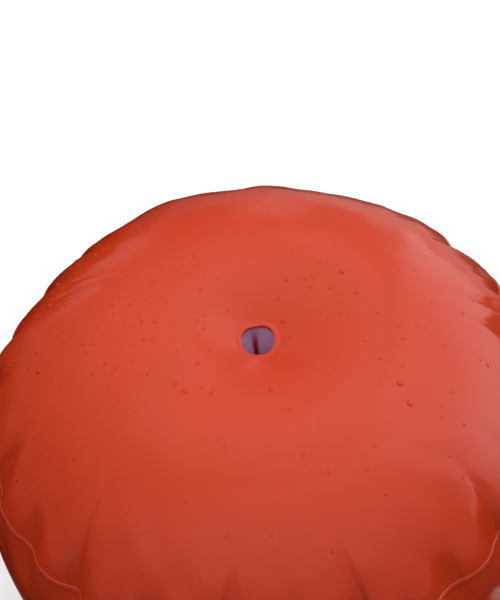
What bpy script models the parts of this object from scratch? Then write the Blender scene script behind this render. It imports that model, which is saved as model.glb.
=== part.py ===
"""Round inflatable signal buoy with a staff bore, four mooring rings and a screw valve.

The float is a short drum of coated fabric: an upper and a lower disc panel and a side band
between them, joined at two shoulder seams.  A white tube runs through its middle and ends
under a lip ring at each face.  Metres, +Z up, origin under the bore on the standing plane.
"""

import math

import bmesh
import bpy
from mathutils import Matrix, Vector

# Body.
BODY_RADIUS = 0.200          # the band at its fullest, half way up
BODY_HEIGHT = 0.260          # from crest to crest
CREST_RADIUS = 0.074         # the ring of skin that the buoy stands on, and its twin on top
DIMPLE_DEPTH = 0.0115        # how far each face sinks from its crest to the bore
SHOULDER_POWER = 2.06        # 2 is an ellipse, more is a squarer shoulder
SEAM_OFFSET = 0.061          # each shoulder seam above or below the middle

# Tucks, the puckers that the curved seams draw into the flat-cut panels.
TUCK_COUNT = 36
TUCK_DEPTH = 0.0042
TUCK_REACH = 0.017

# Weld bead that covers each shoulder seam.
BEAD_WIDTH = 0.0050
BEAD_THICKNESS = 0.0014
BEAD_EDGE = 0.0005           # thickness at its two edges

# Staff bore and its lip rings.
BORE_RADIUS = 0.0110
TUBE_WALL = 0.0015
LIP_OVERHANG = 0.0002        # how far the lip's eye stays outside the bore
LIP_WIDTH = 0.0035
LIP_RISE = 0.0012

# Mooring rings, the webbing that holds them and the patches beneath.
RING_COUNT = 4
RING_WIRE_RADIUS = 0.0020
RING_INNER_WIDTH = 0.0260
RING_DROP = 0.0230           # from the bar's middle to the middle of the bow
RING_CORNER_RADIUS = 0.0050
RING_STANDOFF = 0.0078       # from the patch to the bar's middle
WEBBING_WIDTH = 0.0200
WEBBING_THICKNESS = 0.0013
WEBBING_CLEARANCE = 0.0004   # around the bar
TAIL_START = 0.0085          # where the inner layer meets the patch, above the bar
TAIL_END = 0.0230
PATCH_RADIUS = 0.0290
PATCH_THICKNESS = 0.0011

# Valve.
VALVE_ANGLE = math.radians(-45)
VALVE_BASE_RADIUS = 0.0200
VALVE_BASE_THICKNESS = 0.0014
NECK_RADIUS = 0.0080
NECK_WALL = 0.0026
NECK_HEIGHT = 0.0105
NECK_FLOOR = 0.0030          # closed end of the mouthpiece, above the base
CAP_WALL = 0.0028
CAP_TOP = 0.0022
CAP_EDGE = 0.0010            # chamfer round the cap's top
CAP_CLEARANCE = 0.0004
CAP_RIB_COUNT = 18
CAP_RIB_DEPTH = 0.0006
STUD_RADIUS = 0.0026
STUD_HEAD_RADIUS = 0.0040
STUD_HEAD_HEIGHT = 0.0010
LEASH_THICKNESS = 0.0011
LEASH_RIM = 0.0028           # width of the eye rings at the leash's ends
LEASH_STRAP_WIDTH = 0.0042
LEASH_BOW = 0.0070           # how far the strap bows out past the cap

# Fits and fineness.
SEAT_GAP = 0.0003
SKIN_STEPS = 3 * TUCK_COUNT
BORE_STEPS = 48
PANEL_ROWS = 6
DIMPLE_ROWS = 2
BAND_ROWS = 4
PATCH_STEPS = 24
WIRE_SIDES = 8
ARC_STEPS = 8
VALVE_STEPS = 36

HALF_HEIGHT = BODY_HEIGHT / 2
TUBE_RADIUS = BORE_RADIUS + TUBE_WALL
HOLE_RADIUS = TUBE_RADIUS + SEAT_GAP
BAR_DISTANCE = BODY_RADIUS + SEAT_GAP + PATCH_THICKNESS + RING_STANDOFF
UP = 1
DOWN = -1


def clear_scene():
    """Remove whatever the file holds before modelling starts."""
    for item in list(bpy.data.objects):
        bpy.data.objects.remove(item, do_unlink=True)


def finish(name, colour, roughness, metallic=0.0):
    """Make one Principled material."""
    material = bpy.data.materials.new(name)
    material.use_nodes = True
    shader = material.node_tree.nodes["Principled BSDF"]
    shader.inputs["Base Color"].default_value = (*colour, 1.0)
    shader.inputs["Roughness"].default_value = roughness
    shader.inputs["Metallic"].default_value = metallic
    return material


def make_finishes():
    """Every material of the buoy, by what it is."""
    return {
        "skin": finish("coated_skin", (0.68, 0.075, 0.038), 0.34),
        "bead": finish("weld_bead", (0.60, 0.062, 0.032), 0.38),
        "lip": finish("lip_ring", (0.70, 0.080, 0.040), 0.32),
        "tube": finish("tube_white", (0.82, 0.80, 0.84), 0.30),
        "patch": finish("patch_skin", (0.62, 0.066, 0.034), 0.36),
        "webbing": finish("webbing_black", (0.022, 0.022, 0.024), 0.80),
        "steel": finish("ring_steel", (0.62, 0.62, 0.63), 0.22, 1.0),
        "valve": finish("valve_white", (0.74, 0.73, 0.72), 0.42),
        "cap": finish("cap_white", (0.70, 0.69, 0.68), 0.40),
    }


def add_piece(name, mesh, material, matrix=None):
    """Link one finished mesh as a named object, shaded smooth up to sharp corners."""
    piece = bpy.data.objects.new(name, mesh)
    mesh.name = name
    mesh.materials.append(material)
    mesh.shade_smooth()
    mesh.set_sharp_from_angle(angle=math.radians(35))
    bpy.context.scene.collection.objects.link(piece)
    if matrix is not None:
        piece.matrix_world = matrix
    return piece


def mesh_from(model):
    """Turn a bmesh into a mesh with its faces pointing out."""
    bmesh.ops.recalc_face_normals(model, faces=model.faces)
    mesh = bpy.data.meshes.new("mesh")
    model.to_mesh(mesh)
    model.free()
    return mesh


def ring_of_sections(sections, closed_path=True):
    """Bridge a list of equal point loops into one closed body.

    A closed path joins the last loop to the first; an open one gets a cap at each end.
    """
    model = bmesh.new()
    loops = [[model.verts.new(point) for point in section] for section in sections]
    count = len(sections[0])
    spans = len(loops) if closed_path else len(loops) - 1
    for index in range(spans):
        here = loops[index]
        there = loops[(index + 1) % len(loops)]
        for corner in range(count):
            beside = (corner + 1) % count
            model.faces.new((here[corner], here[beside], there[beside], there[corner]))
    if not closed_path:
        model.faces.new(loops[0])
        model.faces.new(loops[-1])
    return mesh_from(model)


def turned(profile, steps, ripple=None):
    """Turn a closed (radius, height) profile about Z into a ring-shaped body.

    ripple, if given, is called with the angle and the height above the middle and returns
    how far to draw that point in.
    """
    sections = []
    for step in range(steps):
        angle = 2 * math.pi * step / steps
        section = []
        for radius, height in profile:
            reach = radius
            if ripple is not None and radius > CREST_RADIUS:
                reach -= ripple(angle, height - HALF_HEIGHT)
            section.append((reach * math.cos(angle), reach * math.sin(angle), height))
        sections.append(section)
    return ring_of_sections(sections)


def turned_solid(profile, steps, rib_depth=0.0, rib_count=0):
    """Turn an open (radius, height) profile, both ends on the axis, into a solid.

    Ribs, if asked for, stand out of every point that the profile marks with a third value.
    """
    model = bmesh.new()
    rows = []
    for point in profile:
        radius, height = point[0], point[1]
        ribbed = len(point) > 2
        if radius == 0:
            rows.append([model.verts.new((0, 0, height))])
            continue
        row = []
        for step in range(steps):
            angle = 2 * math.pi * step / steps
            swell = rib_depth * (0.5 + 0.5 * math.cos(rib_count * angle)) if ribbed else 0.0
            reach = radius + swell
            row.append(model.verts.new((reach * math.cos(angle), reach * math.sin(angle), height)))
        rows.append(row)
    for lower, upper in zip(rows, rows[1:]):
        for step in range(steps):
            beside = (step + 1) % steps
            if len(lower) == 1:
                model.faces.new((lower[0], upper[step], upper[beside]))
            elif len(upper) == 1:
                model.faces.new((lower[step], lower[beside], upper[0]))
            else:
                model.faces.new((lower[step], lower[beside], upper[beside], upper[step]))
    return mesh_from(model)


# ---------------------------------------------------------------- the float's skin

def skin_radius(offset):
    """Plain radius of the skin at a height above or below the middle."""
    share = min(abs(offset) / HALF_HEIGHT, 1.0)
    reach = (1 - share ** SHOULDER_POWER) ** (1 / SHOULDER_POWER)
    return CREST_RADIUS + (BODY_RADIUS - CREST_RADIUS) * reach


def skin_normal(offset):
    """Outward normal (radial, vertical) of the skin outside the crest."""
    reach = (skin_radius(offset) - CREST_RADIUS) / (BODY_RADIUS - CREST_RADIUS)
    radial = reach ** (SHOULDER_POWER - 1) / (BODY_RADIUS - CREST_RADIUS)
    share = abs(offset) / HALF_HEIGHT
    vertical = math.copysign(share ** (SHOULDER_POWER - 1) / HALF_HEIGHT, offset)
    length = math.hypot(radial, vertical)
    return radial / length, vertical / length


def dimple_offset(radius):
    """Height of a face above the middle, between the bore and the crest."""
    share = (CREST_RADIUS - radius) / (CREST_RADIUS - HOLE_RADIUS)
    return HALF_HEIGHT - DIMPLE_DEPTH * share ** 2


def tuck_depth(angle, offset):
    """How far the tucks draw the skin in at one angle and height."""
    nearness = math.exp(-((abs(offset) - SEAM_OFFSET) / TUCK_REACH) ** 2)
    between = abs(math.sin(TUCK_COUNT * angle / 2))
    return TUCK_DEPTH * nearness * (1 - between)


def panel_profile(side):
    """Closed profile of a disc panel, from the bore over the crest to its seam."""
    seam = SEAM_OFFSET + SEAT_GAP / 2
    points = [(HOLE_RADIUS, seam)]
    for row in range(DIMPLE_ROWS):
        radius = HOLE_RADIUS + (CREST_RADIUS - HOLE_RADIUS) * row / DIMPLE_ROWS
        points.append((radius, dimple_offset(radius)))
    lowest_turn = math.asin((SEAM_OFFSET + BEAD_WIDTH) / HALF_HEIGHT)
    for row in range(PANEL_ROWS + 1):
        turn = math.pi / 2 + (lowest_turn - math.pi / 2) * row / PANEL_ROWS
        offset = HALF_HEIGHT * math.sin(turn)
        points.append((skin_radius(offset), offset))
    points.append((skin_radius(seam), seam))
    return [(radius, HALF_HEIGHT + side * offset) for radius, offset in points]


def band_profile():
    """Closed profile of the side band between the two seams."""
    seam = SEAM_OFFSET - SEAT_GAP / 2
    edge = SEAM_OFFSET - BEAD_WIDTH
    rows = [-edge + 2 * edge * row / BAND_ROWS for row in range(BAND_ROWS + 1)]
    points = [(HOLE_RADIUS, HALF_HEIGHT + seam), (HOLE_RADIUS, HALF_HEIGHT - seam)]
    points += [(skin_radius(offset), HALF_HEIGHT + offset) for offset in (-seam, *rows, seam)]
    return points


def bead_profile(side):
    """Closed profile of the weld bead that lies over a shoulder seam."""
    half = BEAD_WIDTH / 2
    edge = SEAT_GAP + BEAD_EDGE
    crown = SEAT_GAP + BEAD_THICKNESS
    points = []
    for place, lift in ((-half, SEAT_GAP), (half, SEAT_GAP), (half, edge), (0, crown), (-half, edge)):
        offset = SEAM_OFFSET + place
        radial, vertical = skin_normal(offset)
        points.append((skin_radius(offset) + radial * lift, offset + vertical * lift))
    return [(radius, HALF_HEIGHT + side * offset) for radius, offset in points]


def lip_profile(side):
    """Closed profile of a lip ring, flat on top, seated on the dimple round the bore."""
    eye = BORE_RADIUS + LIP_OVERHANG
    rim = eye + LIP_WIDTH
    seat_eye = dimple_offset(eye) + SEAT_GAP
    seat_rim = dimple_offset(rim) + SEAT_GAP
    top = seat_rim + LIP_RISE
    points = [
        (eye, seat_eye),
        (rim, seat_rim),
        (rim, seat_rim + 0.4 * LIP_RISE),
        (rim - 0.22 * LIP_WIDTH, top),
        (eye + 0.22 * LIP_WIDTH, top),
        (eye, seat_rim + 0.4 * LIP_RISE),
    ]
    return [(radius, HALF_HEIGHT + side * offset) for radius, offset in points]


def build_float(finishes):
    """The two panels, the band and the beads over their seams."""
    for name, side in (("upper", UP), ("lower", DOWN)):
        panel = turned(panel_profile(side), SKIN_STEPS, tuck_depth)
        add_piece(f"{name}_panel", panel, finishes["skin"])
        bead = turned(bead_profile(side), SKIN_STEPS, tuck_depth)
        add_piece(f"{name}_seam_bead", bead, finishes["bead"])
    add_piece("side_band", turned(band_profile(), SKIN_STEPS, tuck_depth), finishes["skin"])


def build_bore(finishes):
    """The through tube and the lip ring at each of its ends."""
    reach = dimple_offset(BORE_RADIUS)
    low, high = HALF_HEIGHT - reach, HALF_HEIGHT + reach
    wall = [(BORE_RADIUS, low), (TUBE_RADIUS, low), (TUBE_RADIUS, high), (BORE_RADIUS, high)]
    add_piece("through_tube", turned(wall, BORE_STEPS), finishes["tube"])
    for name, side in (("upper", UP), ("lower", DOWN)):
        add_piece(f"{name}_lip", turned(lip_profile(side), BORE_STEPS), finishes["lip"])


# ---------------------------------------------------------------- mooring rings

def skin_patch(angle, radius, thickness):
    """A round patch that follows the band about one angle at half height."""
    model = bmesh.new()
    faces = {}
    for lift in (SEAT_GAP, SEAT_GAP + thickness):
        rows = []
        for share in (0.0, 0.5, 1.0):
            row = []
            steps = 1 if share == 0 else PATCH_STEPS
            for step in range(steps):
                turn = 2 * math.pi * step / PATCH_STEPS
                across = share * radius * math.cos(turn)
                offset = share * radius * math.sin(turn)
                reach = skin_radius(offset) + lift
                place = angle + across / BODY_RADIUS
                point = (reach * math.cos(place), reach * math.sin(place), HALF_HEIGHT + offset)
                row.append(model.verts.new(point))
            rows.append(row)
        for step in range(PATCH_STEPS):
            beside = (step + 1) % PATCH_STEPS
            model.faces.new((rows[0][0], rows[1][step], rows[1][beside]))
            model.faces.new((rows[1][step], rows[2][step], rows[2][beside], rows[1][beside]))
        faces[lift] = rows[2]
    inner, outer = faces.values()
    for step in range(PATCH_STEPS):
        beside = (step + 1) % PATCH_STEPS
        model.faces.new((inner[step], inner[beside], outer[beside], outer[step]))
    return mesh_from(model)


def tangent_angle(point, radius, side):
    """Angle at which a line from a point touches a circle about the origin."""
    distance = math.hypot(*point)
    return math.atan2(point[1], point[0]) + side * math.acos(radius / distance)


def webbing_path():
    """Middle line (out, up) of the webbing, about the bar's middle.

    It comes down the patch, passes between patch and bar, turns under the bar and goes
    back up over its own first layer.
    """
    eye = RING_WIRE_RADIUS + WEBBING_CLEARANCE + WEBBING_THICKNESS / 2

    def layer(height, index):
        fall = skin_radius(height) - BODY_RADIUS
        stack = (index + 0.5) * WEBBING_THICKNESS + (index + 1) * SEAT_GAP
        return (-RING_STANDOFF + fall + stack, height)

    middle = (TAIL_START + TAIL_END) / 2
    inner = [layer(TAIL_END, 0), layer(middle, 0), layer(TAIL_START, 0)]
    outer_start = TAIL_START + 2 * WEBBING_THICKNESS
    outer = [layer(outer_start, 1), layer(middle + WEBBING_THICKNESS, 1), layer(TAIL_END, 1)]
    start = tangent_angle(inner[-1], eye, 1)
    end = tangent_angle(outer[0], eye, -1) + 2 * math.pi
    arc = []
    for step in range(ARC_STEPS + 1):
        turn = start + (end - start) * step / ARC_STEPS
        arc.append((eye * math.cos(turn), eye * math.sin(turn)))
    return inner + arc + outer


def strip_mesh(path, width, thickness):
    """Sweep a flat strip along a path in the (out, up) plane; width runs along Y."""
    sections = []
    for index, (out, up) in enumerate(path):
        before = Vector(path[max(index - 1, 0)])
        after = Vector(path[min(index + 1, len(path) - 1)])
        along = (after - before).normalized()
        normal = Vector((-along.y, along.x)) * thickness / 2
        sections.append([
            (out - normal.x, -width / 2, up - normal.y),
            (out - normal.x, width / 2, up - normal.y),
            (out + normal.x, width / 2, up + normal.y),
            (out + normal.x, -width / 2, up + normal.y),
        ])
    return ring_of_sections(sections, closed_path=False)


def ring_path():
    """Middle line (across, up) of a D-shaped ring, about its bar's middle."""
    half = RING_INNER_WIDTH / 2 + RING_WIRE_RADIUS
    corner = RING_CORNER_RADIUS
    points = []
    for step in range(ARC_STEPS // 2 + 1):
        turn = math.pi / 2 * (1 - step / (ARC_STEPS // 2))
        points.append((half - corner + corner * math.cos(turn), -corner + corner * math.sin(turn)))
    bow_rise = RING_DROP - half
    bow_start = -max(bow_rise, corner)
    bow_depth = RING_DROP + bow_start
    for step in range(2 * ARC_STEPS + 1):
        turn = -math.pi * step / (2 * ARC_STEPS)
        points.append((half * math.cos(turn), bow_start + bow_depth * math.sin(turn)))
    mirrored = [(-across, up) for across, up in points[ARC_STEPS // 2::-1]]
    return points + mirrored


def wire_mesh(path, radius, sides):
    """Sweep a round wire along a closed path in the YZ plane."""
    sections = []
    count = len(path)
    for index, (across, up) in enumerate(path):
        before = Vector(path[index - 1])
        after = Vector(path[(index + 1) % count])
        along = (after - before).normalized()
        normal = Vector((0, -along.y, along.x))
        section = []
        for side in range(sides):
            turn = 2 * math.pi * side / sides
            offset = normal * radius * math.cos(turn) + Vector((radius * math.sin(turn), 0, 0))
            section.append(Vector((0, across, up)) + offset)
        sections.append(section)
    return ring_of_sections(sections)


def build_mooring(finishes):
    """Patches, webbing loops and the rings that hang in them, evenly round the band."""
    webbing = strip_mesh(webbing_path(), WEBBING_WIDTH, WEBBING_THICKNESS)
    ring = wire_mesh(ring_path(), RING_WIRE_RADIUS, WIRE_SIDES)
    for index in range(RING_COUNT):
        angle = 2 * math.pi * index / RING_COUNT
        number = index + 1
        patch = skin_patch(angle, PATCH_RADIUS, PATCH_THICKNESS)
        add_piece(f"ring_patch_{number}", patch, finishes["patch"])
        spot = Matrix.Rotation(angle, 4, "Z") @ Matrix.Translation((BAR_DISTANCE, 0, HALF_HEIGHT))
        add_piece(f"webbing_loop_{number}", webbing.copy(), finishes["webbing"], spot)
        add_piece(f"mooring_ring_{number}", ring.copy(), finishes["steel"], spot)


# ---------------------------------------------------------------- valve

def valve_spot():
    """Frame of the valve: Z out of the band at its angle, on the base's outer face."""
    reach = BODY_RADIUS + SEAT_GAP + VALVE_BASE_THICKNESS
    turn = Matrix.Rotation(VALVE_ANGLE, 4, "Z") @ Matrix.Rotation(math.pi / 2, 4, "Y")
    return Matrix.Translation((
        reach * math.cos(VALVE_ANGLE), reach * math.sin(VALVE_ANGLE), HALF_HEIGHT,
    )) @ turn


def cap_base():
    """Height of the cap's mouth above the base: the leash's eye lies beneath it."""
    return 2 * SEAT_GAP + LEASH_THICKNESS


def cap_top():
    """Height of the cap's closed top above the base."""
    return NECK_HEIGHT + SEAT_GAP + CAP_TOP


def neck_profile():
    """Blind mouthpiece."""
    bore = NECK_RADIUS - NECK_WALL
    edge = 0.2 * NECK_WALL
    return [
        (0, SEAT_GAP),
        (NECK_RADIUS, SEAT_GAP),
        (NECK_RADIUS, NECK_HEIGHT - edge),
        (NECK_RADIUS - edge, NECK_HEIGHT),
        (bore, NECK_HEIGHT),
        (bore, NECK_FLOOR),
        (0, NECK_FLOOR),
    ]


def cap_profile():
    """Cup that screws over the neck, with a headed stud on top for the leash's eye."""
    inner = NECK_RADIUS + CAP_CLEARANCE
    outer = inner + CAP_WALL
    ceiling = NECK_HEIGHT + SEAT_GAP
    head = cap_top() + LEASH_THICKNESS + 2 * SEAT_GAP
    return [
        (0, ceiling),
        (inner, ceiling),
        (inner, cap_base()),
        (outer, cap_base(), "ribbed"),
        (outer, cap_top() - CAP_EDGE, "ribbed"),
        (outer - CAP_EDGE, cap_top()),
        (STUD_RADIUS, cap_top()),
        (STUD_RADIUS, head),
        (STUD_HEAD_RADIUS, head),
        (STUD_HEAD_RADIUS, head + STUD_HEAD_HEIGHT),
        (0, head + STUD_HEAD_HEIGHT),
    ]


def leash_eye(inner, height):
    """One flat eye ring of the leash."""
    half = LEASH_THICKNESS / 2
    outer = inner + LEASH_RIM
    corners = [(inner, height - half), (outer, height - half), (outer, height + half)]
    return turned(corners + [(inner, height + half)], VALVE_STEPS)


def leash_path(low, high):
    """Middle line of the strap, bowing out past the cap from the low eye to the high one."""
    near_low = NECK_RADIUS + SEAT_GAP + 0.6 * LEASH_RIM
    near_high = STUD_RADIUS + SEAT_GAP + 0.6 * LEASH_RIM
    straight_low = NECK_RADIUS + SEAT_GAP + 1.6 * LEASH_RIM
    side = NECK_RADIUS + CAP_CLEARANCE + CAP_WALL + CAP_RIB_DEPTH
    middle = (low + high) / 2
    points = [(near_low, low), (straight_low, low)]
    for step in range(1, ARC_STEPS):
        turn = -math.pi / 2 + math.pi * step / ARC_STEPS
        points.append((side + LEASH_BOW * math.cos(turn), middle + (high - low) / 2 * math.sin(turn)))
    points += [(side, high), (near_high, high)]
    return points


def add_leash(finish_used, spot):
    """Leash as one moulding: two eyes and the strap between them, united."""
    low = SEAT_GAP + LEASH_THICKNESS / 2
    high = cap_top() + SEAT_GAP + LEASH_THICKNESS / 2
    strap = strip_mesh(leash_path(low, high), LEASH_STRAP_WIDTH, LEASH_THICKNESS)
    leash = add_piece("valve_leash", strap, finish_used, spot)
    eyes = (("low", NECK_RADIUS, low), ("high", STUD_RADIUS, high))
    for name, radius, height in eyes:
        eye = add_piece(f"leash_eye_{name}", leash_eye(radius + SEAT_GAP, height), finish_used, spot)
        eye.hide_render = True
        eye.display_type = "WIRE"
        union = leash.modifiers.new(f"join_{name}", "BOOLEAN")
        union.operation = "UNION"
        union.object = eye


def build_valve(finishes):
    """Base, neck, screw cap and leash of the valve."""
    base = skin_patch(VALVE_ANGLE, VALVE_BASE_RADIUS, VALVE_BASE_THICKNESS)
    add_piece("valve_base", base, finishes["valve"])
    spot = valve_spot()
    add_piece("valve_neck", turned_solid(neck_profile(), VALVE_STEPS), finishes["valve"], spot)
    cap = turned_solid(cap_profile(), VALVE_STEPS, CAP_RIB_DEPTH, CAP_RIB_COUNT)
    add_piece("valve_cap", cap, finishes["cap"], spot)
    add_leash(finishes["cap"], spot)


def main():
    """Build every piece of the buoy."""
    clear_scene()
    finishes = make_finishes()
    build_float(finishes)
    build_bore(finishes)
    build_mooring(finishes)
    build_valve(finishes)


if __name__ == "__main__":
    main()
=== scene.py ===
"""Looks of a round inflatable signal buoy: a skin of coated fabric drawn over air, with the
bore, lips, mooring rings and valve that it carries, and the plain studio that it stands in.

Metres, +Z up, the bore on the Z axis, the buoy standing on z = 0.
"""

import logging
import math
from collections.abc import Callable, Iterator, Sequence
from contextlib import contextmanager
from dataclasses import dataclass, field
from enum import Enum
from functools import cached_property, reduce

import bmesh
import bpy
import numpy as np
from mathutils import Matrix, Vector


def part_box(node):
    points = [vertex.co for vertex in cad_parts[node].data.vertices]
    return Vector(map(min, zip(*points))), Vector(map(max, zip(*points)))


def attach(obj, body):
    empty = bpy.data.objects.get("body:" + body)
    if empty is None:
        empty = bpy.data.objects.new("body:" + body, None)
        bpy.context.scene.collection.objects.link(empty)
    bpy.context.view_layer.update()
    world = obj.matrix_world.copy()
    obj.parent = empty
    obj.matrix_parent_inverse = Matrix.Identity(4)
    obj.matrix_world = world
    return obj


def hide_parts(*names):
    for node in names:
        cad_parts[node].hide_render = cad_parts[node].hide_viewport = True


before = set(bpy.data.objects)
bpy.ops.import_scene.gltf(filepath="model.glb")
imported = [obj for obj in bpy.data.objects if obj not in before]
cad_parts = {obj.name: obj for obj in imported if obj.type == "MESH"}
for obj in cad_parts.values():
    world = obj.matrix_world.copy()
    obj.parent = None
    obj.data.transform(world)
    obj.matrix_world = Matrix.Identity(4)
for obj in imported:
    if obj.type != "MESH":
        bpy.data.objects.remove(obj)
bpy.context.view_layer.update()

LOG = logging.getLogger("signal_buoy")
MIDDLE = 0.5 * (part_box("side_band")[0].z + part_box("side_band")[1].z)

Node = bpy.types.Node
Socket = bpy.types.NodeSocket
Object = bpy.types.Object
Material = bpy.types.Material
Grid = np.ndarray
Colour = tuple[float, float, float]
Path = list[tuple[float, float]]
Stops = tuple[tuple[float, float], ...]


class Face(Enum):
    """The two faces of the float, by the way that they look along Z."""

    UPPER = 1
    LOWER = -1

    @property
    def label(self) -> str:
        """Lower-case name, as the pieces' names use it."""
        return self.name.lower()


def middle_of(node: str) -> Vector:
    """Middle of a node's box."""
    low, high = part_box(node)
    return 0.5 * (low + high)


def azimuth_of(node: str) -> float:
    """Azimuth of the middle of a node's box, in radians."""
    middle = middle_of(node)
    return math.atan2(middle.y, middle.x)


def shade(colour: Colour, share: float) -> Colour:
    """A colour times a share."""
    return tuple(share * part for part in colour)


# Node trees.


class Tree:
    """Adds and joins nodes in one node tree, in few words."""

    def __init__(self, tree: bpy.types.NodeTree) -> None:
        """Keep the tree that nodes are added to."""
        self.tree = tree

    def add(self, kind: str, inputs: dict | None = None, **settings: object) -> Node:
        """Add one shader node.

        Args:
            kind: The node's type name after "ShaderNode".
            inputs: Values or sockets for its inputs, by socket name or number.
            settings: Properties to set on the node itself.

        Returns:
            The new node.
        """
        node = self.tree.nodes.new(f"ShaderNode{kind}")
        for name, value in settings.items():
            setattr(node, name, value)
        for key, value in (inputs or {}).items():
            self.feed(node.inputs[key], value)
        return node

    def feed(self, socket: Socket, value: object) -> None:
        """Link a socket to an input, or set the input's own value."""
        if isinstance(value, Socket):
            self.tree.links.new(value, socket)
        elif isinstance(value, tuple) and len(value) == 3 and socket.type == "RGBA":
            socket.default_value = (*value, 1.0)
        else:
            socket.default_value = value

    def math(self, operation: str, *values: object) -> Socket:
        """Result of one Math node, its inputs given in order."""
        return self.add("Math", dict(enumerate(values)), operation=operation).outputs[0]

    def times(self, value: object, factor: object, plus: object = None) -> Socket:
        """A value times a factor, plus a third value where there is one."""
        if plus is None:
            return self.math("MULTIPLY", value, factor)
        return self.math("MULTIPLY_ADD", value, factor, plus)

    def vector(self, operation: str, *values: object) -> Socket:
        """Result of one Vector Math node, a number where it has only that."""
        node = self.add("VectorMath", dict(enumerate(values)), operation=operation)
        return node.outputs["Value" if operation in ("LENGTH", "DOT_PRODUCT") else "Vector"]

    def axis(self, vector: Socket, name: str) -> Socket:
        """The X, Y or Z of a vector."""
        return self.add("SeparateXYZ", {0: vector}).outputs[name]

    def span(self, value: Socket, low: float, high: float, to_low: float = 0.0,
             to_high: float = 1.0) -> Socket:
        """Ease from one value to another while the input crosses a range.

        Args:
            value: The input.
            low: Where the range starts.
            high: Where it ends.
            to_low: The result at the start and before it.
            to_high: The result at the end and past it.

        Returns:
            The result's socket.
        """
        ends = {"Value": value, "From Min": low, "From Max": high, "To Min": to_low,
                "To Max": to_high}
        return self.add("MapRange", ends, interpolation_type="SMOOTHSTEP").outputs["Result"]

    def noise(self, vector: Socket, scale: object, detail: float = 2.0,
              roughness: float = 0.5) -> Socket:
        """Noise between 0 and 1 at a scale per metre."""
        return self.add("TexNoise", {"Vector": vector, "Scale": scale, "Detail": detail,
                                     "Roughness": roughness}).outputs[0]

    def blend(self, share: object, first: object, second: object) -> Socket:
        """Mix two colours, the second one by its share."""
        return self.add("Mix", {0: share, 6: first, 7: second}, data_type="RGBA").outputs[2]


class EffectGroup:
    """A shader node group with named inputs and one output, built once and then placed."""

    def __init__(self, name: str, inputs: dict[str, float | None], output: str) -> None:
        """Make an empty group.

        Args:
            name: The group's name.
            inputs: The numbers that it takes, by name; None is a vector.
            output: The name of the value that it gives.
        """
        self.group = bpy.data.node_groups.new(name, "ShaderNodeTree")
        for label, default in inputs.items():
            kind = "NodeSocketVector" if default is None else "NodeSocketFloat"
            socket = self.group.interface.new_socket(label, in_out="INPUT", socket_type=kind)
            if default is not None:
                socket.default_value = default
        self.group.interface.new_socket(output, in_out="OUTPUT", socket_type="NodeSocketFloat")
        self.tree = Tree(self.group)
        self.given = self.group.nodes.new("NodeGroupInput").outputs

    def give(self, value: Socket) -> "EffectGroup":
        """Join the output to a socket; returns the group, which is then finished."""
        self.tree.feed(self.group.nodes.new("NodeGroupOutput").inputs[0], value)
        return self

    def place(self, tree: Tree, **inputs: object) -> Socket:
        """Place the group in a material with its own values.

        Args:
            tree: The material's tree.
            inputs: Values or sockets, by the input's name in lower case with underscores.

        Returns:
            The value that the group gives.
        """
        named = {name.replace("_", " ").title(): value for name, value in inputs.items()}
        return tree.add("Group", named, node_tree=self.group).outputs[0]


# Shared helpers.


def deselect() -> None:
    """Leave nothing selected, in object mode."""
    if bpy.context.object is not None and bpy.context.object.mode != "OBJECT":
        bpy.ops.object.mode_set(mode="OBJECT")
    bpy.ops.object.select_all(action="DESELECT")


def pick(piece: Object) -> None:
    """Make one object the only selected and the active one."""
    deselect()
    piece.select_set(True)
    bpy.context.view_layer.objects.active = piece


def settle(piece: Object) -> None:
    """Apply an object's place, turn and size to its mesh."""
    pick(piece)
    bpy.ops.object.transform_apply(location=True, rotation=True, scale=True)


def hand_in(piece: Object, name: str, material: Material, node: str = "",
            smooth_angle: float = 60.0, body: str = "float") -> None:
    """Name, dress and mount one finished piece.

    Args:
        piece: The object.
        name: The piece's name.
        material: Its material.
        node: The node that it stands for, if there is one.
        smooth_angle: Edges sharper than this stay sharp, in degrees.
        body: The body that it rides on.
    """
    settle(piece)
    piece.name = piece.data.name = name
    bpy.ops.object.shade_smooth_by_angle(angle=math.radians(smooth_angle))
    piece.data.materials.clear()
    piece.data.materials.append(material)
    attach(piece, body)
    if node:
        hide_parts(node)
    LOG.info("%s: %d faces, rides on %s", name, len(piece.data.polygons), body)


def apply_modifier(piece: Object, kind: str, **settings: object) -> None:
    """Add a modifier with its settings and apply it at once."""
    pick(piece)
    modifier = piece.modifiers.new(kind.lower(), kind)
    for name, value in settings.items():
        setattr(modifier, name, value)
    bpy.ops.object.modifier_apply(modifier=modifier.name)


def round_edges(piece: Object, width: float, sharper_than: float) -> None:
    """Round the edges that are sharper than an angle in degrees."""
    apply_modifier(piece, "BEVEL", width=width, segments=2, limit_method="ANGLE",
                   angle_limit=math.radians(sharper_than))


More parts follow.
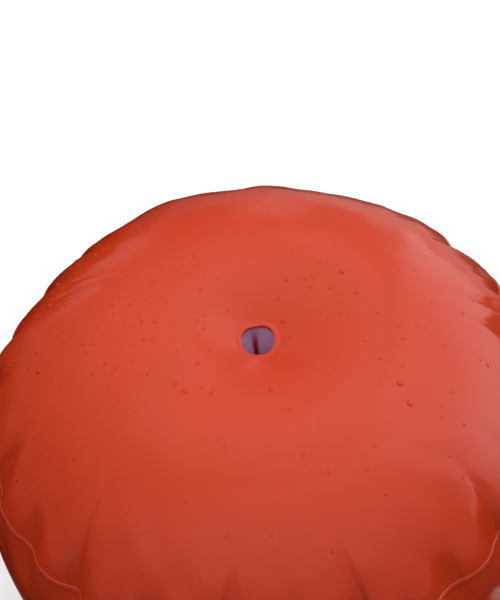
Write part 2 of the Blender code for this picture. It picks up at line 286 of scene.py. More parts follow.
def object_from_grid(name: str, points: Grid, pattern: Grid, lap: float,
                     closed: bool = False) -> Object:
    """Make a mesh of quads from a grid of points.

    Args:
        name: The object's name.
        points: Rows of points, (rows, columns, 3); columns run round the float.
        pattern: The flat-cut place of each point, (rows, columns, 2), kept as its UV.
        lap: How much the pattern's first coordinate grows over one lap.
        closed: Whether the last row joins the first one, as on a tube's wall.

    Returns:
        The object, linked to the scene.
    """
    rows, columns, _ = points.shape
    spans = rows if closed else rows - 1
    upper, column = np.meshgrid(np.arange(spans), np.arange(columns), indexing="ij")
    lower, beside = (upper + 1) % rows, (column + 1) % columns
    corners = np.stack([upper * columns + column, lower * columns + column,
                        lower * columns + beside, upper * columns + beside], -1).reshape(-1, 4)
    mesh = bpy.data.meshes.new(name)
    mesh.from_pydata(points.reshape(-1, 3).tolist(), [], corners.tolist())
    places = pattern.reshape(-1, 2)[corners]
    places[:, 2:, 0] += (column.ravel() == columns - 1)[:, None] * lap
    mesh.uv_layers.new(name="cut").data.foreach_set("uv", places.astype(np.float32).ravel())
    mesh.update()
    piece = bpy.data.objects.new(name, mesh)
    bpy.context.scene.collection.objects.link(piece)
    return piece


def running(steps: Grid) -> Grid:
    """Length reached after each step, from 0."""
    return np.concatenate([[0.0], np.cumsum(steps)])


def round_z(reach: Grid, azimuth: Grid, height: Grid) -> Grid:
    """Points by their distance from the axis, azimuth and height above the middle."""
    return np.stack(np.broadcast_arrays(reach * np.cos(azimuth), reach * np.sin(azimuth),
                                        MIDDLE + height), -1)


def laid_out(around: Grid, along: Grid) -> Grid:
    """Pattern of a grid from its length round the float and along its rows."""
    return np.stack(np.broadcast_arrays(around[None, :], along[:, None]), -1)


# The skin.


@dataclass(frozen=True)
class Tuck:
    """A fold that a shoulder seam draws into the skin.

    Attributes:
        azimuth: Where it crosses the seam, in degrees.
        depth: How deep it is at the seam.
        half_width: Half its width at the seam, in degrees.
        climb: How far it runs up the panel from the seam.
        slant: How far its top end lies round from its foot, in degrees.
        crease: How deep its sharp bottom is at the seam.
        skew: 1 makes the crease steep on its clockwise side and gentle on the other, -1
            the other way round.
        drop: How far it runs down the band.
        foot: How far above the seam its crease fades out again.
        lee: How much wider its anticlockwise side is, in degrees.
    """

    azimuth: float
    depth: float
    half_width: float
    climb: float
    slant: float = 0.0
    crease: float = 0.0010
    skew: float = 0.0
    drop: float = 0.030
    foot: float = 0.0
    lee: float = 0.0


@dataclass
class Profile:
    """The plain shape of the float from the bore over the crest to its middle.

    Attributes:
        body_radius: The band's radius half way up.
        half_height: From the middle to the crest.
        dimple_depth: How far the face sinks towards the bore.
        shoulder_power: 2 is an ellipse, more is squarer.
        seam_offset: Each shoulder seam's height above or below the middle.
        face_points: Fine points from the hole to the crest.
    """

    body_radius: float = 0.5 * (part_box("side_band")[1].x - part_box("side_band")[0].x)
    half_height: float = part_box("upper_panel")[1].z - MIDDLE
    crest_radius: float = 0.074
    dimple_depth: float = 0.0115
    hole_radius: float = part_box("through_tube")[1].x + 0.0003
    shoulder_power: float = 2.06
    seam_offset: float = 0.5 * (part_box("side_band")[1].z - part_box("side_band")[0].z)
    face_points: int = 400

    def face_height(self, radius: Grid | float) -> Grid:
        """Height above the middle of a point on a face, by its radius."""
        sunk = np.clip(self.crest_radius - radius, 0.0, None)
        sunk = sunk / (self.crest_radius - self.hole_radius)
        out = (radius - self.crest_radius) / (self.body_radius - self.crest_radius)
        out = np.clip(out, 0.0, 1.0)
        drawn = (1.0 - out ** self.shoulder_power) ** (1.0 / self.shoulder_power)
        return np.where(radius < self.crest_radius,
                        self.half_height - self.dimple_depth * sunk ** 2,
                        self.half_height * drawn)

    def radius_at(self, offset: Grid | float) -> Grid:
        """Radius of the skin outside the crest, by its height above the middle."""
        share = np.clip(np.abs(offset) / self.half_height, 0.0, 1.0)
        reach = (1.0 - share ** self.shoulder_power) ** (1.0 / self.shoulder_power)
        return self.crest_radius + (self.body_radius - self.crest_radius) * reach

    def trace(self) -> tuple[Grid, Grid]:
        """Fine profile points (radius, height) from the hole to the middle."""
        inner = np.linspace(self.hole_radius, self.crest_radius, self.face_points)
        turn = np.linspace(0.5 * math.pi, 0.0, 3 * self.face_points)[1:]
        height = self.half_height * np.sin(turn)
        radius = np.concatenate([inner, self.radius_at(height)])
        return radius, np.concatenate([self.face_height(inner), height])

    def rows(self, panel_rows: int, band_rows: int) -> tuple[Grid, Grid, Grid]:
        """Profile points at even steps, with a row exactly on each shoulder seam.

        Args:
            panel_rows: Steps from the hole to the seam.
            band_rows: Steps from seam to seam.

        Returns:
            Radius, height above the middle and length along the profile from the upper
            hole, for every row down to the lower hole.
        """
        radius, height = self.trace()
        length = running(np.hypot(np.diff(radius), np.diff(height)))
        outer = slice(self.face_points - 1, None)
        seam = float(np.interp(-self.seam_offset, -height[outer], length[outer]))
        half = np.concatenate([np.linspace(0.0, seam, panel_rows + 1),
                               np.linspace(seam, length[-1], band_rows // 2 + 1)[1:]])
        out, up = np.interp(half, length, radius), np.interp(half, length, height)
        return (np.concatenate([out, out[-2::-1]]), np.concatenate([up, -up[-2::-1]]),
                np.concatenate([half, 2 * length[-1] - half[-2::-1]]))


class PressureRelaxer:
    """Lets air press a grid of cloth points out while its threads keep their lengths."""

    def __init__(self, points: Grid, slack: Grid, seams: tuple[int, int]) -> None:
        """Measure the threads' lengths from the cut shape.

        Args:
            points: The cut shape, (rows, columns, 3), closed round its columns.
            slack: How much longer than the cut shape the threads round the float are, by
                row, as a share.
            seams: The rows that the panels are welded along.
        """
        self.points = points.copy()
        self.speed = np.zeros_like(points)
        self.seams = seams
        self.mass = np.ones((points.shape[0], 1))
        self.mass[0] = self.mass[-1] = 0.0
        around = np.linalg.norm(np.roll(points, -1, 1) - points, axis=-1)
        self.around = around * (1.0 + slack[:, None])
        self.across = np.linalg.norm(points[1:] - points[:-1], axis=-1)
        mean = 0.5 * (self.around[1:] + self.around[:-1])
        self.slanted = {side: np.hypot(run, self.across)
                        for side, run in ((1, mean), (-1, np.roll(mean, 1, 1)))}
        self.around_two = self.around + np.roll(self.around, -1, 1)
        self.across_two = self.across[1:] + self.across[:-1]

    def pull(self, first: slice | Grid, second: slice | Grid, rest: Grid, stretch: float,
             press: float, turn: int = 0) -> None:
        """Bring pairs of points in two sets of rows back to their distance.

        Args:
            first: The first points' rows.
            second: The second points' rows.
            rest: Their distances.
            stretch: Share of the error that is mended where a pair is too far apart.
            press: The same where it is too close.
            turn: How many columns round the second point lies.
        """
        here = self.points[first]
        there = np.roll(self.points[second], -turn, 1)
        gap = there - here
        far = np.sqrt((gap * gap).sum(-1))
        error = far - rest
        ours, theirs = self.mass[first], self.mass[second]
        share = np.where(error > 0, stretch, press) * error
        share /= np.maximum(far, 1e-12) * np.maximum(ours + theirs, 1e-9)
        move = share[..., None] * gap
        self.points[first] = here + ours[..., None] * move
        self.points[second] = np.roll(there - theirs[..., None] * move, turn, 1)

    def pull_round(self, start: int, stride: int, reach: int, rest: Grid, stretch: float,
                   press: float) -> None:
        """Bring pairs of points in the same row back to their distance.

        Args:
            start: The first pair's column.
            stride: Columns from one pair to the next.
            reach: Columns between the two points of a pair.
            rest: Distances by row and first column.
            stretch: Share of the error mended where a pair is too far apart.
            press: The same where it is too close.
        """
        here = np.arange(start, self.points.shape[1], stride)
        there = (here + reach) % self.points.shape[1]
        gap = self.points[:, there] - self.points[:, here]
        far = np.sqrt((gap * gap).sum(-1))
        error = far - rest[:, here]
        share = 0.5 * np.where(error > 0, stretch, press) * error / np.maximum(far, 1e-12)
        move = (share * (self.mass > 0))[..., None] * gap
        self.points[:, here] += move
        self.points[:, there] -= move

    def run(self, steps: int, push: float, beat: float, bend: float, shear: float,
            calm: float) -> Grid:
        """Relax for a number of steps.

        Args:
            steps: How many.
            push: Speed that the pressure adds in one step.
            beat: Time of one step.
            bend: How much a thread resists folding, as a share.
            shear: How much the weave resists shearing, as a share.
            calm: Share of the speed that is kept.

        Returns:
            The relaxed points.
        """
        rows = self.points.shape[0]
        for _ in range(steps):
            self.speed = (self.speed + unit_normals(self.points) * push) * calm
            self.speed[0] = self.speed[-1] = 0.0
            before = self.points.copy()
            self.points += self.speed * beat
            for start in (0, 1):
                first, second = slice(start, rows - 1, 2), slice(start + 1, rows, 2)
                self.pull(first, second, self.across[start::2], 1.0, 0.8)
                self.pull_round(start, 2, 1, self.around, 1.0, 1.0)
                for side in (1, -1):
                    self.pull(first, second, self.slanted[side][start::2], shear, shear, side)
            for start in range(4):
                self.pull_round(start, 4, 2, self.around_two, 0.0, bend)
                held = np.array([row for row in range(start, rows - 2, 4)
                                 if row + 1 not in self.seams])
                self.pull(held, held + 2, self.across_two[held], 0.0, bend)
            self.speed = (self.points - before) / beat
        LOG.info("skin relaxed: %d rows, %d steps", rows, steps)
        return self.points


def smooth(value: Grid, low: float, high: float) -> Grid:
    """0 below a range, 1 above it, and easing in and out between."""
    share = np.clip((value - low) / (high - low), 0.0, 1.0)
    return share * share * (3.0 - 2.0 * share)


def unit_normals(points: Grid) -> Grid:
    """Unit normals of a grid that is closed round its columns, pointing outwards."""
    around = np.roll(points, -1, 1) - np.roll(points, 1, 1)
    normal = np.cross(np.gradient(points, axis=0), around)
    return normal / np.maximum(np.linalg.norm(normal, axis=-1, keepdims=True), 1e-12)


def outward(radius: Grid, height: Grid) -> tuple[Grid, Grid]:
    """Outward normal of a profile, as (radial, vertical) by row."""
    out, up = np.gradient(radius), np.gradient(height)
    length = np.hypot(out, up)
    return -up / length, out / length


def turned_out(radius: Grid, height: Grid, azimuth: Grid, lift: Grid) -> Grid:
    """Turn a profile about Z, moved out along its normals by a lift.

    Args:
        radius: Radius by row.
        height: Height above the middle by row.
        azimuth: Azimuth by column.
        lift: How far each point is moved out, by row and column.

    Returns:
        The points, (rows, columns, 3).
    """
    radial, vertical = outward(radius, height)
    return round_z(radius[:, None] + radial[:, None] * lift, azimuth,
                   height[:, None] + vertical[:, None] * lift)


def refined(values: Grid, rows: int, columns: int) -> Grid:
    """Resample a grid that is closed round its columns, with smooth cubic steps.

    Args:
        values: The coarse grid, (rows, columns).
        rows: How many rows are wanted.
        columns: How many columns are wanted.

    Returns:
        The fine grid.
    """
    def along_first(grid: Grid, count: int, closed: bool) -> Grid:
        """Resample the first axis."""
        size = grid.shape[0]
        place = np.arange(count) * (size / count if closed else (size - 1) / (count - 1))
        base = np.floor(place).astype(int)
        part = (place - base)[:, None]
        picked = [base + shift for shift in (-1, 0, 1, 2)]
        picked = [at % size if closed else np.clip(at, 0, size - 1) for at in picked]
        before, here, there, after = (grid[at] for at in picked)
        bend = 2 * before - 5 * here + 4 * there - after
        turn = 3 * (here - there) + after - before
        return here + 0.5 * part * (there - before + part * (bend + part * turn))

    return along_first(along_first(values, rows, False).T, columns, True).T


@dataclass
class InflatedFloat:
    """The skin of the float: two disc panels and a side band, welded along two seams.

    The panels are cut flat, so the seams draw them into tucks; air then presses the cloth
    between the tucks out.

    Attributes:
        panel_rows: Steps from the hole to a seam.
        band_rows: Steps from seam to seam, an even number.
        fullness: Outward swell of the upper shoulder by azimuth in degrees.
        slack: How much longer than the seam the panel's threads are beside it, as a share.
        slack_reach: How far from the seam that extra length runs.
        coarse: Columns, panel rows and band rows of the grid that is relaxed.
        crease_power: 1 gives a crease straight sides, more hollows them.
        trail_length: How far a faint fold runs on past a tuck's tip.
        cockle: Height of the shoulders' shallow unevenness.
    """

    profile: Profile = field(default_factory=Profile)
    columns: int = 640
    panel_rows: int = 70
    band_rows: int = 40
    thickness: float = 0.0008
    upper_tucks: tuple[Tuck, ...] = (
        Tuck(31.6, 0.0, 1.6, 0.056, 15.0, 0.0024, -1.0, lee=14.0),
        Tuck(29.2, 0.0, 1.5, 0.056, 5.0, 0.0042, -1.0, lee=12.0),
        Tuck(19.4, 0.0, 5.5, 0.046, 1.5, 0.0056, -1.0, lee=3.0),
        Tuck(11.3, 0.0022, 5.6, 0.048, 4.8, 0.0050, 1.0),
        Tuck(5.6, 0.0026, 3.4, 0.070, 3.8, 0.0046, 1.0),
        Tuck(-3.4, 0.0026, 6.2, 0.070, 4.8, 0.0060, 1.0),
        Tuck(-15.0, 0.0034, 3.4, 0.048, 2.0, 0.0018, 0.6), Tuck(-29.0, 0.0030, 4.0, 0.040, -1.5),
        Tuck(-43.0, 0.0036, 3.2, 0.052, 1.0, 0.0020, 0.8), Tuck(-60.0, 0.0028, 4.4, 0.036),
        Tuck(-74.0, 0.0038, 3.6, 0.068, -3.0, 0.0024, -0.8), Tuck(-88.0, 0.0030, 3.8, 0.042),
        Tuck(-103.0, 0.0036, 3.4, 0.060, 2.4, 0.0022, 0.7), Tuck(-119.0, 0.0030, 4.2, 0.038),
        Tuck(-133.0, 0.0034, 3.4, 0.070, -3.6, 0.0022, -1.0), Tuck(-150.0, 0.0032, 4.0, 0.044),
        Tuck(-166.0, 0.0038, 3.4, 0.056, 1.8, 0.0018, 0.5),
        Tuck(176.0, 0.0022, 3.6, 0.040, -2.0, 0.0010, -0.5),
        Tuck(161.6, 0.0, 2.6, 0.096, -10.8, 0.0014, -0.4, 0.0, 0.058),
        Tuck(158.2, 0.0, 2.8, 0.110, -15.2, 0.0016, -0.4, 0.0, 0.066),
        Tuck(158.5, 0.0020, 2.8, 0.038, -0.5, 0.0012, 0.3),
        Tuck(147.5, 0.0016, 3.0, 0.040, -1.0, 0.0012, 0.5),
        Tuck(135.6, 0.0026, 3.2, 0.036, -1.0, 0.0024, 0.8),
        Tuck(123.5, 0.0020, 3.0, 0.034, 0.0, 0.0008), Tuck(106.0, 0.0014, 3.6, 0.030),
        Tuck(90.0, 0.0020, 4.0, 0.034), Tuck(74.0, 0.0022, 6.0, 0.040),
        Tuck(56.0, 0.0014, 4.0, 0.036),
    )
    lower_seed: int = 41
    fullness: Stops = (
        (-170, 0.0008), (-145, -0.0006), (-120, 0.0010), (-95, -0.0004), (-70, 0.0009),
        (-45, 0.0), (-20, -0.0005), (0, 0.0004), (8, 0.0010), (14, 0.0030), (20, 0.0022),
        (26, -0.0002), (30, -0.0010), (34, 0.0014), (38, 0.0028), (43, 0.0018), (48, 0.0004),
        (56, -0.0003), (70, -0.0028), (84, 0.0012), (94, -0.0014), (103, 0.0022),
        (110, 0.0042), (116, 0.0006), (124, 0.0003), (130, 0.0), (134, -0.0008),
        (139, 0.0004), (143.5, -0.0022), (149, 0.0002), (152.5, -0.0020), (155.5, -0.0014),
        (160, 0.0026), (166, 0.0034), (176, 0.0014))
    slack: float = 0.035
    slack_reach: float = 0.024
    coarse: tuple[int, int, int] = (160, 28, 16)
    relax_steps: int = 500
    crease_power: float = 1.15
    trail_length: float = 0.034
    trail_depth: float = 0.00022
    cockle: float = 0.00012
    cockle_waves: int = 28
    cockle_seed: int = 6

    def __post_init__(self) -> None:
        """Lay out the rows and relax the skin."""
        self.radius, self.height, self.along = self.profile.rows(self.panel_rows, self.band_rows)
        self.seam_rows = (self.panel_rows, self.panel_rows + self.band_rows)
        self.azimuth = 2 * math.pi * np.arange(self.columns) / self.columns
        lift = refined(self.relaxed(), len(self.along), self.columns)
        above = self.along[self.seam_rows[0]] - self.along
        below = self.along - self.along[self.seam_rows[1]]
        lift += self.cockled(above) + self.cockled(below)
        lift -= self.creased(self.upper_tucks, above) + self.creased(self.lower_tucks(), below)
        self.points = self.fitted(lift, above)
        self.normals = unit_normals(self.points)

    def lower_tucks(self) -> list[Tuck]:
        """Tucks of the lower seam, spaced much as the upper ones are."""
        draw = np.random.default_rng(self.lower_seed)
        tucks, azimuth = [], -176.0
        while azimuth < 172.0:
            tucks.append(Tuck(azimuth, draw.uniform(0.0026, 0.0040), draw.uniform(3.0, 4.6),
                              draw.uniform(0.036, 0.074), draw.uniform(-3.0, 3.0),
                              draw.uniform(0.0008, 0.0026), draw.uniform(-1.0, 1.0)))
            azimuth += draw.uniform(11.0, 18.0)
        return tucks

    @staticmethod
    def along_tuck(tuck: Tuck, from_seam: Grid, azimuth: Grid) -> tuple[Grid, Grid, Grid]:
        """Where the skin lies beside one tuck.

        Args:
            tuck: The tuck.
            from_seam: Length from the seam by row, positive up the panel.
            azimuth: Azimuth by column.

        Returns:
            How far along the tuck each row lies, up and down from the seam, 0 to 1, and
            each point's angle from the tuck's line in degrees.
        """
        up = np.clip(from_seam / tuck.climb, 0.0, 1.0)[:, None]
        down = np.clip(-from_seam / max(tuck.drop, 0.001), 0.0, 1.0)[:, None]
        line = tuck.azimuth + tuck.slant * up
        return up, down, (np.degrees(azimuth)[None, :] - line + 180.0) % 360.0 - 180.0

    def drawn_in(self, tucks: Sequence[Tuck], from_seam: Grid, azimuth: Grid) -> Grid:
        """How far the tucks of one seam draw the skin in before the air presses it out.

        Args:
            tucks: The tucks.
            from_seam: Length from the seam by row, positive up the panel.
            azimuth: Azimuth by column.

        Returns:
            The depth by row and column.
        """
        depth = 0.0
        for tuck in tucks:
            up, down, aside = self.along_tuck(tuck, from_seam, azimuth)
            width = tuck.half_width * (1.0 - 0.6 * up) * (1.0 + 0.8 * down)
            fade = (1.0 - up) ** 1.2 * (1.0 - down) ** 2 * np.cos(0.5 * math.pi * down)
            depth += tuck.depth * fade * np.exp(-np.abs(aside / width) ** 1.6)
        return depth

    def creased(self, tucks: Sequence[Tuck], from_seam: Grid) -> Grid:
        """The creased bottoms of the tucks, finer than the relaxed grid can hold.

        Each is a shallow scoop that opens from its tip to the seam, with sides as steep
        at the tip as at the seam.

        Args:
            tucks: The tucks.
            from_seam: Length from the seam by row, positive up the panel.

        Returns:
            The depth by row and column.
        """
        depth = 0.0
        for tuck in tucks:
            up, down, aside = self.along_tuck(tuck, from_seam, self.azimuth)
            share = 1.0 - up
            deep = np.sin(0.5 * math.pi * np.minimum(1.0, share / 0.75)) * (1.0 - down) ** 2
            if tuck.foot > 0.0:
                deep *= smooth(from_seam[:, None] / tuck.foot, 0.86, 1.18)
            spread = 0.08 + 0.92 * np.minimum(1.0, share / 0.36)
            lee, steep = (tuck.half_width * (0.30 + 0.84 * max(0.0, side * tuck.skew)) * spread
                          for side in (1.0, -1.0))
            away = np.where(aside > 0.0, aside / (lee + tuck.lee * spread), -aside / steep)
            depth += tuck.crease * deep * np.clip(1.0 - away, 0.0, 1.0) ** self.crease_power
            past = (from_seam[:, None] - tuck.climb) / self.trail_length
            trail = smooth(past, -0.9, 0.0) * (1.0 - smooth(past, 0.0, 1.0))
            depth += self.trail_depth * trail * np.exp(-(aside / 1.9) ** 2)
        return depth

    def cockled(self, from_seam: Grid) -> Grid:
        """The shallow unevenness of a shoulder, from a few crossing waves."""
        draw = np.random.default_rng(self.cockle_seed)
        lift = 0.0
        for _ in range(self.cockle_waves):
            laps, pitch = draw.integers(9, 40), draw.uniform(0.030, 0.090)
            phase = laps * self.azimuth[None, :] + draw.uniform(0.0, 2 * math.pi)
            lift += np.cos(phase + from_seam[:, None] * 2 * math.pi / pitch * draw.choice((-1, 1)))
        fade = np.exp(-((from_seam - 0.050) / 0.042) ** 2)[:, None]
        return self.cockle * math.sqrt(2.0 / self.cockle_waves) * fade * lift

    def relaxed(self) -> Grid:
        """How far the relaxed skin lies outside the plain shape, on a coarse grid."""
        columns, panel_rows, band_rows = self.coarse
        radius, height, along = self.profile.rows(panel_rows, band_rows)
        azimuth = 2 * math.pi * np.arange(columns) / columns
        seams = (panel_rows, panel_rows + band_rows)
        above, below = along[seams[0]] - along, along - along[seams[1]]
        depth = (self.drawn_in(self.upper_tucks, above, azimuth)
                 + self.drawn_in(self.lower_tucks(), below, azimuth))
        nearest = np.minimum(np.abs(above), np.abs(below))
        slack = self.slack * np.exp(-(nearest / self.slack_reach) ** 2)
        start = turned_out(radius, height, azimuth, -depth)
        relaxed = PressureRelaxer(start, slack, seams).run(
            self.relax_steps, push=0.012, beat=3.0e-4, bend=0.25, shear=0.3, calm=0.985)
        radial, vertical = outward(radius, height)
        out = np.hypot(relaxed[..., 0], relaxed[..., 1]) - radius[:, None]
        up = relaxed[..., 2] - MIDDLE - height[:, None]
        return out * radial[:, None] + up * vertical[:, None]

    def fitted(self, lift: Grid, above: Grid) -> Grid:
        """Bring the relaxed skin back to the plain shape on average and at what it carries.

        Args:
            lift: How far the skin lies outside the plain shape, by row and column.
            above: Length up the panel from the upper seam, by row.

        Returns:
            The skin's points, (rows, columns, 3).
        """
        degrees, swell = np.array(sorted(self.fullness)).T
        swell = np.interp(np.degrees(self.azimuth), degrees, swell, period=360.0)
        kernel = np.exp(-0.5 * (np.arange(-16, 17) / 5.0) ** 2)
        swell = np.convolve(np.tile(swell, 3), kernel / kernel.sum(), "same")
        swell = swell[self.columns:2 * self.columns]
        shoulder = np.exp(-((above - 0.022) / 0.038) ** 2)
        lift = lift - lift.mean(1, keepdims=True) + shoulder[:, None] * swell
        LOG.info("skin lift %.4f to %.4f", lift.min(), lift.max())
        hold = smooth(self.radius, 0.062, 0.112)[:, None]
        carried = np.ones_like(lift)
        for node, (full, free) in Mooring.held_spots().items():
            turn = (self.azimuth - azimuth_of(node)) / (2 * math.pi)
            across = (turn - np.round(turn)) * 2 * math.pi * self.profile.body_radius
            away = np.hypot(across[None, :], self.height[:, None])
            carried = np.minimum(carried, smooth(away, full, free))
        return turned_out(self.radius, self.height, self.azimuth, lift * carried * hold)

    def place_on(self, azimuth: float, radius: float) -> tuple[Vector, Vector]:
        """A point of the upper panel and its normal.

        Args:
            azimuth: Azimuth in degrees.
            radius: Plain radius.

        Returns:
            The point and the unit normal.
        """
        row = int(np.argmin(np.abs(self.radius[:self.seam_rows[0]] - radius)))
        column = round(azimuth / 360.0 * self.columns) % self.columns
        return Vector(self.points[row, column]), Vector(self.normals[row, column])

    def panel_pattern(self, rows: slice) -> Grid:
        """Flat-cut places of a disc panel's points, in metres."""
        reach = self.along[rows] if rows.start == 0 else self.along[-1] - self.along[rows]
        reach = (reach + self.profile.hole_radius)[:, None]
        return np.stack([reach * np.cos(self.azimuth), reach * np.sin(self.azimuth)], -1)

    def build(self, finish: Material) -> None:
        """Make the two panels and the band as closed shells of cloth."""
        upper, lower = self.seam_rows
        top, band, base = slice(0, upper + 1), slice(upper, lower + 1), slice(lower, None)
        around = self.azimuth * self.profile.body_radius
        for name, node, rows, pattern, lap in (
                ("upper_skin", "upper_panel", top, self.panel_pattern(top), 0.0),
                ("band_skin", "side_band", band, laid_out(around, self.along[band]),
                 2 * math.pi * self.profile.body_radius),
                ("lower_skin", "lower_panel", base, self.panel_pattern(base), 0.0)):
            piece = object_from_grid(name, self.points[rows], pattern, lap)
            apply_modifier(piece, "SOLIDIFY", thickness=self.thickness, offset=-1.0)
            hand_in(piece, name, finish, node)


# Seams and bore.


def swept_round(name: str, sections: Grid, azimuth: Grid) -> Object:
    """Close a ring from the section that it has at each azimuth.

    Args:
        name: The object's name.
        sections: Section points, (section points, azimuths, 3).
        azimuth: The azimuths, kept as the pattern's first coordinate.

    Returns:
        The ring, with its section's length as the pattern's second coordinate.
    """
    length = running(np.linalg.norm(np.diff(sections, axis=0), axis=-1).mean(1))
    reach = float(np.hypot(sections[..., 0], sections[..., 1]).mean())
    return object_from_grid(name, sections, laid_out(azimuth * reach, length),
                            2 * math.pi * reach, closed=True)


@dataclass
class SeamBead:
    """The welded bead that covers a shoulder seam.

    Attributes:
        rise: How far it stands proud of the skin.
        sunk: How far its underside lies in the skin.
        squareness: 2 is a round back, more is flatter.
    """

    width: float = 0.0052
    rise: float = 0.0006
    sunk: float = 0.0004
    section_points: int = 11
    squareness: float = 2.6

    def build(self, skin: InflatedFloat, face: Face, finish: Material) -> None:
        """Lay the bead along one seam of the finished skin."""
        row = skin.seam_rows[face is Face.LOWER]
        seam, normal = skin.points[row], skin.normals[row]
        above, below = skin.points[row - 1] - seam, skin.points[row + 1] - seam
        sections = []
        for place in np.linspace(-1.0, 1.0, self.section_points):
            toward = above if place < 0 else below
            unit = toward / np.linalg.norm(toward, axis=-1, keepdims=True)
            back = math.sqrt(max(0.0, 1.0 - abs(place) ** self.squareness))
            lift = -self.sunk + (self.rise + self.sunk) * back
            sections.append(seam + 0.5 * self.width * abs(place) * unit + lift * normal)
        sections.append(seam - 1.6 * self.sunk * normal)
        name = f"{face.label}_bead"
        hand_in(swept_round(name, np.array(sections), skin.azimuth), name, finish,
                f"{face.label}_seam_bead")


@dataclass
class Bore:
    """The soft tube through the float and the lips at its two mouths.

    Attributes:
        half_across: Half the mouth's width, left to right and front to back.
        lip_rise: How far the lip stands above the dimple.
        lip_reach: How far the lip runs out from the mouth.
        lip_roll: The lip's inner edge, from the mouth and from the crest.
        lip_under: The lip's underside, from the mouth and from the dimple.
        crest: From the mouth to the lip's highest line.
        tuck_depth: How far the air pushes the tube in beside the pinches.
    """

    half_across: tuple[float, float] = (0.01015, 0.01140)
    squareness: float = 2.35
    lip_rise: float = 0.0008
    lip_reach: float = 0.0050
    lip_roll: Stops = ((0.0005, -0.0024), (0.0001, -0.0015), (0.0001, -0.0008),
                       (0.0004, -0.0003), (0.0009, 0.0))
    lip_under: Stops = ((0.0046, -0.0018), (0.0040, -0.0034), (0.0014, -0.0033))
    crest: float = 0.0016
    tuck_azimuths: tuple[float, ...] = (102.0, 215.0, -28.0)
    tuck_depth: float = 0.0030
    tube_wall: float = 0.0010
    round_steps: int = 144
    tube_rows: int = 72

    def __post_init__(self) -> None:
        """Lay out the steps round the bore."""
        self.azimuth = 2 * math.pi * np.arange(self.round_steps) / self.round_steps
        self.tube_radius = float(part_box("through_tube")[1].x) - 0.0015

    def mouth(self, face: Face) -> Grid:
        """Radius of the mouth at each azimuth."""
        turn = self.azimuth + (0.0 if face is Face.UPPER else 0.7)
        wide, deep = self.half_across
        across = np.abs(np.cos(turn) / wide) ** self.squareness
        along = np.abs(np.sin(turn) / deep) ** self.squareness
        plain = (across + along) ** (-1.0 / self.squareness)
        return plain * (1.0 + 0.022 * np.cos(3 * turn - 1.9) + 0.012 * np.cos(5 * turn + 0.6))

    def build_lip(self, skin: InflatedFloat, face: Face, finish: Material) -> None:
        """Build the soft lip of one mouth, blended into the dimple."""
        mouth = self.mouth(face)
        outs = np.linspace(self.crest, self.lip_reach, 9)
        falls = (self.lip_rise + 0.00012) * smooth(outs, self.crest - 0.0006, self.lip_reach)
        sections = []
        for out, drop in (*self.lip_roll, *zip(outs, -falls), *self.lip_under):
            reach = mouth + out
            seat = (np.maximum(reach, skin.profile.hole_radius) if out > self.crest
                    else mouth + self.crest)
            height = skin.profile.face_height(seat) + self.lip_rise + drop
            sections.append(round_z(reach, self.azimuth, face.value * height))
        name = f"{face.label}_lip_ring"
        ring = swept_round(name, np.array(sections), self.azimuth)
        with editing(ring):
            bpy.ops.mesh.normals_make_consistent(inside=False)
        apply_modifier(ring, "SUBSURF", levels=1, render_levels=1)
        hand_in(ring, name, finish, f"{face.label}_lip")

    def build_tube(self, skin: InflatedFloat, finish: Material) -> None:
        """Build the tube, round at its mouths and pinched by the air between them."""
        reach = float(skin.profile.face_height(0.0135)) + self.lip_rise - 0.0010
        share = np.linspace(1.0, -1.0, self.tube_rows + 1)
        height = reach * np.sign(share) * np.abs(share) ** 0.8
        from_mouth = reach - np.abs(height)
        degrees = np.degrees(self.azimuth)
        nearest = np.min([np.abs((degrees - tuck + 180.0) % 360.0 - 180.0)
                          for tuck in self.tuck_azimuths], axis=0)
        swell = np.clip(nearest / 14.0, 0.0, 1.0) ** 0.55 * np.cos(np.radians(nearest) * 0.8)
        opening = np.clip(1.0 - from_mouth / 0.010, 0.0, 1.0)[:, None]
        radius = np.full((self.tube_rows + 1, self.round_steps), self.tube_radius)
        for face in Face:
            side = (height * face.value > 0)[:, None]
            shaped = self.mouth(face)[None, :] + 0.0003
            radius = np.where(side, radius + opening * (shaped - self.tube_radius), radius)
        inward = smooth(from_mouth, 0.003, 0.025)[:, None]
        radius = radius - self.tuck_depth * inward * np.clip(swell, 0.0, 1.0)
        tube = object_from_grid("bore_tube", round_z(radius, self.azimuth, height[:, None]),
                                laid_out(self.azimuth * self.tube_radius, height),
                                2 * math.pi * self.tube_radius)
        apply_modifier(tube, "SOLIDIFY", thickness=self.tube_wall, offset=1.0)
        hand_in(tube, "bore_tube", finish, "through_tube")


# Bench work.


@contextmanager
def editing(piece: Object) -> Iterator[None]:
    """Open one object in edit mode with all of it selected, and close it afterwards."""
    pick(piece)
    bpy.ops.object.mode_set(mode="EDIT")
    bpy.ops.mesh.select_all(action="SELECT")
    yield
    bpy.ops.object.mode_set(mode="OBJECT")


def primitive(kind: str, name: str, **settings: object) -> Object:
    """Add one of Blender's mesh primitives, with nothing else selected."""
    deselect()
    getattr(bpy.ops.mesh, f"primitive_{kind}_add")(**settings)
    bpy.context.object.name = name
    return bpy.context.object


def face_out(piece: Object, merge: float = 0.00001) -> Object:
    """Merge doubled points, turn all faces outwards and return the piece."""
    with editing(piece):
        bpy.ops.mesh.remove_doubles(threshold=merge)
        bpy.ops.mesh.normals_make_consistent(inside=False)
    return piece


def draw_along(path: Path, extrude: Callable) -> None:
    """Extrude what is selected from point to point of a path (x, z)."""
    for (x, z), (next_x, next_z) in zip(path, path[1:]):
        extrude(TRANSFORM_OT_translate={"value": (next_x - x, 0, next_z - z)})


